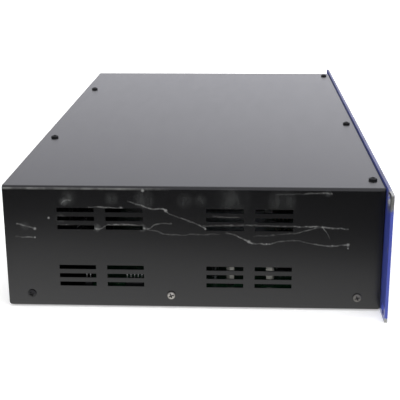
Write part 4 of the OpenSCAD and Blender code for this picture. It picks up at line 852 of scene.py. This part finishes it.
def legs_round(row, centre, half_x, half_y, sides):
    """Rows of legs on the sides of a body: side 0 faces +X, 1 faces +Y, 2 faces -X, 3 faces -Y."""
    rows = []
    for side in sides:
        out = half_x if side % 2 == 0 else half_y
        turn = Matrix.Rotation(math.pi / 2 * side, 4, "Z")
        rows.append(copy_of(row, Matrix.Translation(centre) @ turn @ Matrix.Translation((out, 0, 0))))
    return rows


line_low, line_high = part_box("line_chips")
half_line = (line_high.y - line_low.y) / 2
leg = gull_wing(0.4 * mm, 0.85 * mm)
row = leg_row(leg, 27, 0.8 * mm)
legs = []
for index in (1, 2, 3):
    low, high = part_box("port_block_%d" % index)
    centre = ((low.x + high.x) / 2, (line_low.y + line_high.y) / 2, deck_z)
    legs += legs_round(row, centre, half_line, half_line, (0, 1, 2, 3))
memory_low, memory_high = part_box("memory_chips")
MEMORY = (20 * mm, 11 * mm)
short_row = leg_row(leg, 12, 0.8 * mm)
for x in (memory_low.x + MEMORY[0] / 2, memory_high.x - MEMORY[0] / 2):
    for y in (memory_low.y + MEMORY[1] / 2, memory_high.y - MEMORY[1] / 2):
        legs += legs_round(short_row, (x, y, deck_z), MEMORY[0] / 2, MEMORY[1] / 2, (0, 2))
for piece in (leg, row, short_row):
    bpy.data.objects.remove(piece)
fit(join("chip_legs", legs), "case", tin_plate)

# %% [markdown]
# ### Small parts in rows
#
# Round each chip sit resistors and capacitors no longer than a grain of rice: a ceramic body with
# tinned ends. One is made from a block whose end faces are extruded, and rows of it are copied.

# %% Chip resistors and chip capacitors
def chip_part(name, body_finish, length, width, tall):
    part = block(name, (-length / 2 + 0.3 * mm, -width / 2, 0), (length / 2 - 0.3 * mm, width / 2, tall))
    part.data.materials.append(body_finish)
    part.data.materials.append(tin_plate)
    pick(part, "FACE", lambda face: abs(face.normal.x) > 0.5)
    bpy.ops.mesh.extrude_region_shrink_fatten(TRANSFORM_OT_shrink_fatten={"value": 0.3 * mm})
    bpy.context.object.active_material_index = 1
    bpy.ops.object.material_slot_assign()
    edit_done()
    end = length / 2 - 0.29 * mm
    for face in part.data.polygons:
        face.material_index = 1 if abs(face.center.x) > end - 0.02 * mm else 0
    return part


def part_rows(name, part, rows):
    """Rows given as (first x, first y, step x, step y, count, turned)."""
    copies = []
    for x, y, step_x, step_y, count, turned in rows:
        for index in range(count):
            place = Matrix.Translation((x * mm + index * step_x * mm, y * mm + index * step_y * mm, deck_z))
            turn = Matrix.Rotation(math.pi / 2 if turned else 0, 4, "Z")
            copies.append(copy_of(part, place @ turn))
    bpy.data.objects.remove(part)
    piece = join(name, copies)
    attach(piece, "case")
    print(name, len(copies), "parts,", len(piece.data.polygons), "faces")
    return piece


ceramic = grained("tan_barium_ceramic", "#8d7350", "#a88b64", 0.4, (0.4, 0.5), 0.01)
resistor_glaze = grained("black_resistor_glaze", "#141416", "#222225", 0.3, (0.25, 0.35), 0.01)
resistor_rows = []
capacitor_rows = []
for index in (1, 2, 3):
    low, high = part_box("port_block_%d" % index)
    x = (low.x + high.x) / 2 / mm
    resistor_rows += [(x - 14, 37, 2.2, 0, 13, True), (x - 14, 75, 2.2, 0, 13, True)]
    capacitor_rows += [(x - 18, 46, 0, 3.4, 7, False), (x + 18, 46, 0, 3.4, 7, False)]
resistor_rows += [(-206, 120, 0, 2.4, 16, False), (-60, 70 + 60, 0, 2.4, 12, False)]
capacitor_rows += [(-196, 120, 0, 3.2, 10, False), (-110, 128, 2.8, 0, 12, True)]
part_rows("chip_resistors", chip_part("resistor", resistor_glaze, 1.6 * mm, 0.8 * mm, 0.45 * mm), resistor_rows)
part_rows("chip_capacitors", chip_part("capacitor", ceramic, 2.0 * mm, 1.25 * mm, 0.9 * mm), capacitor_rows)

# %% [markdown]
# ### Turns of wire
#
# A ring choke is a ferrite ring with turns of enamelled wire threaded through its hole. The frame
# has the ring. One turn is a small circle spun about the ring's own section, and the turns are
# copies of it, swung round the ring's axis. The mains choke has two windings with a gap between
# them, which keeps the two sides of the mains apart.

# %% Wind the two ring chokes
def winding(name, centre, upright, ring_r, section_r, wire_r, angles):
    deselect()
    bpy.ops.mesh.primitive_circle_add(vertices=8, radius=wire_r, location=(ring_r + section_r, 0, 0))
    turn = bpy.context.active_object
    bpy.ops.object.transform_apply(location=True)
    bpy.ops.object.mode_set(mode="EDIT")
    bpy.ops.mesh.select_all(action="SELECT")
    bpy.ops.mesh.spin(steps=20, angle=2 * math.pi, center=(ring_r, 0, 0), axis=(0, 1, 0))
    bpy.ops.mesh.select_all(action="SELECT")
    bpy.ops.mesh.remove_doubles(threshold=0.01 * mm)
    edit_done()
    bpy.ops.object.shade_smooth()
    tip = Matrix.Translation(centre) @ upright
    copies = [copy_of(turn, tip @ Matrix.Rotation(math.radians(angle), 4, "Z")) for angle in angles]
    bpy.data.objects.remove(turn)
    return fit(join(name, copies), "case", enamelled_copper)


choke_low, choke_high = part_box("filter_choke")
coils_low, coils_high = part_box("board_coils")
toroid = {"ring": 8 * mm, "section": 4.6 * mm}
toroid_out = toroid["ring"] + toroid["section"]
winding("toroid_turns", (coils_high.x - toroid_out, coils_low.y + toroid_out, supply_high.z + toroid["section"]),
        Matrix.Identity(4), toroid["ring"], toroid["section"] - 0.1 * mm, 0.55 * mm, range(0, 360, 15))
lean = Matrix.Rotation(math.radians(20), 4, "Z") @ Matrix.Rotation(math.pi / 2, 4, "Y")
choke_middle = (choke_low + choke_high) / 2
winding("choke_turns", (choke_middle.x, choke_middle.y, choke_high.z - 15 * mm), lean, 10 * mm, 4.9 * mm, 0.6 * mm,
        [angle for angle in range(0, 360, 14) if not (70 < angle < 105 or 250 < angle < 285)])

# %% [markdown]
# ## Studio
#
# A plain pale floor carries the object's shadow. The room is white where it is seen or mirrored,
# and softer where it lights, so a colour renders about as it is written. Satin black paint is
# mostly a mirror: the roof has to see the white room, and the sides have to see a floor that is
# bright beside the case and falls off into a dark studio, as a lit table does. The floor does that
# for mirrored rays alone.

# %% Floor
case_centre = Vector(((cover_low.x + cover_high.x) / 2, middle_y, 0))
half_w = (cover_high.x - cover_low.x) / 2
half_d = (cover_high.y - cover_low.y) / 2
bpy.ops.object.select_all(action="DESELECT")
bpy.ops.mesh.primitive_plane_add(size=12, location=(case_centre.x, case_centre.y, floor_z))
floor = bpy.context.active_object
floor.name = "floor"
bpy.ops.object.transform_apply(location=True)
floor_paper, tree, shader, place = start_finish("white_paper_sweep")
ray = add(tree, "ShaderNodeLightPath")
local = add(tree, "ShaderNodeVectorMath", {"operation": "SUBTRACT", 1: case_centre}, {0: place})
folded = add(tree, "ShaderNodeVectorMath", {"operation": "ABSOLUTE"}, {0: local})
outside = add(tree, "ShaderNodeVectorMath", {"operation": "SUBTRACT", 1: (half_w, half_d, 10)}, {0: folded})
beyond = add(tree, "ShaderNodeVectorMath", {"operation": "MAXIMUM", 1: (0, 0, 0)}, {0: outside})
reach = add(tree, "ShaderNodeVectorMath", {"operation": "LENGTH"}, {0: beyond}).outputs["Value"]
# the lit part of the table reaches further at the rear of the case than at its front
front_to_rear = add(tree, "ShaderNodeSeparateXYZ", {}, {0: local}).outputs["Y"]
nearer = add(tree, "ShaderNodeMapRange", {"From Min": half_d, "From Max": -half_d, "To Max": 0.05},
             {"Value": front_to_rear})
shifted = add(tree, "ShaderNodeMath", {"operation": "ADD"}, {0: reach, 1: nearer})
share = add(tree, "ShaderNodeMapRange", {"From Max": 0.4}, {"Value": shifted})
fall = follow(tree, share, [(0, 1), (0.086, 0.86), (0.29, 0.56), (0.4, 0.3), (0.5, 0.15), (0.65, 0.09), (1, 0.03)])
lit = add(tree, "ShaderNodeMath", {"operation": "MULTIPLY", 1: 1.35}, {0: fall})
mirrored = add(tree, "ShaderNodeEmission", {"Color": (1, 1, 1, 1)}, {"Strength": lit})
shader.inputs["Base Color"].default_value = linear("#f2f2f2")
shader.inputs["Roughness"].default_value = 0.8
shader.inputs["Specular IOR Level"].default_value = 0.0
away = add(tree, "ShaderNodeMapRange", {"From Min": 0.1, "From Max": 0.8, "To Min": 0.35, "To Max": 1.0},
           {"Value": reach})
glow = add(tree, "ShaderNodeEmission", {"Color": (1, 1, 1, 1)}, {"Strength": away})
seen = add(tree, "ShaderNodeAddShader", {}, {0: shader.outputs["BSDF"], 1: glow})
to_camera = add(tree, "ShaderNodeMixShader", {},
                {0: ray.outputs["Is Camera Ray"], 1: shader.outputs["BSDF"], 2: seen})
to_mirror = add(tree, "ShaderNodeMixShader", {},
                {0: ray.outputs["Is Glossy Ray"], 1: to_camera, 2: mirrored})
tree.links.new(to_mirror.outputs[0], tree.nodes["Material Output"].inputs["Surface"])
floor.data.materials.append(floor_paper)
print("floor at", round(floor_z, 4))

# %% World
world = bpy.data.worlds.new("studio")
bpy.context.scene.world = world
world.use_nodes = True
tree = world.node_tree
ray = add(tree, "ShaderNodeLightPath")
shown = largest(tree, [ray.outputs["Is Camera Ray"], ray.outputs["Is Transmission Ray"]])
power = add(tree, "ShaderNodeMapRange", {"To Min": 0.45, "To Max": 1.0}, {"Value": shown})
# what paint and metal mirror: a slightly cool room, brighter towards the front of the case
towards = add(tree, "ShaderNodeSeparateXYZ", {}, {0: add(tree, "ShaderNodeTexCoord").outputs["Generated"]})
to_front = add(tree, "ShaderNodeMapRange", {"From Min": 0.25, "From Max": -0.25, "To Min": 0.86, "To Max": 1.16},
               {"Value": towards.outputs["Y"]})
near_level = add(tree, "ShaderNodeMapRange", {"From Min": 0.3, "From Max": 0.16, "To Min": 0.96, "To Max": 1.16},
                 {"Value": towards.outputs["Z"]})
strength = times(tree, to_front, near_level)
plain = tree.nodes["Background"]
plain.inputs["Color"].default_value = (1, 1, 1, 1)
mirrored = add(tree, "ShaderNodeBackground", {"Color": linear("#f6f6fe")}, {"Strength": strength})
room = add(tree, "ShaderNodeMixShader", {}, {0: ray.outputs["Is Glossy Ray"], 1: plain, 2: mirrored})
tree.links.new(power.outputs[0], plain.inputs["Strength"])
tree.links.new(room.outputs[0], tree.nodes["World Output"].inputs["Surface"])
print("world set")

# %% Lamps
def soft_lamp(name, at, aim, size, watts):
    data = bpy.data.lights.new(name, "AREA")
    data.shape = "DISK"
    data.size = size
    data.energy = watts
    lamp = bpy.data.objects.new(name, data)
    lamp.location = at
    lamp.rotation_euler = (Vector(aim) - Vector(at)).to_track_quat("-Z", "Y").to_euler()
    lamp.visible_camera = False
    lamp.visible_glossy = False
    bpy.context.scene.collection.objects.link(lamp)
    return lamp


soft_lamp("softbox_above", (-0.2, 0.0, 1.5), case_centre, 1.2, 17)
soft_lamp("fill_left", (-1.5, 0.4, 0.7), case_centre, 1.0, 6)
soft_lamp("fill_front", (0.3, -1.6, 0.8), case_centre, 1.0, 6)
bpy.context.scene.view_settings.view_transform = "Standard"
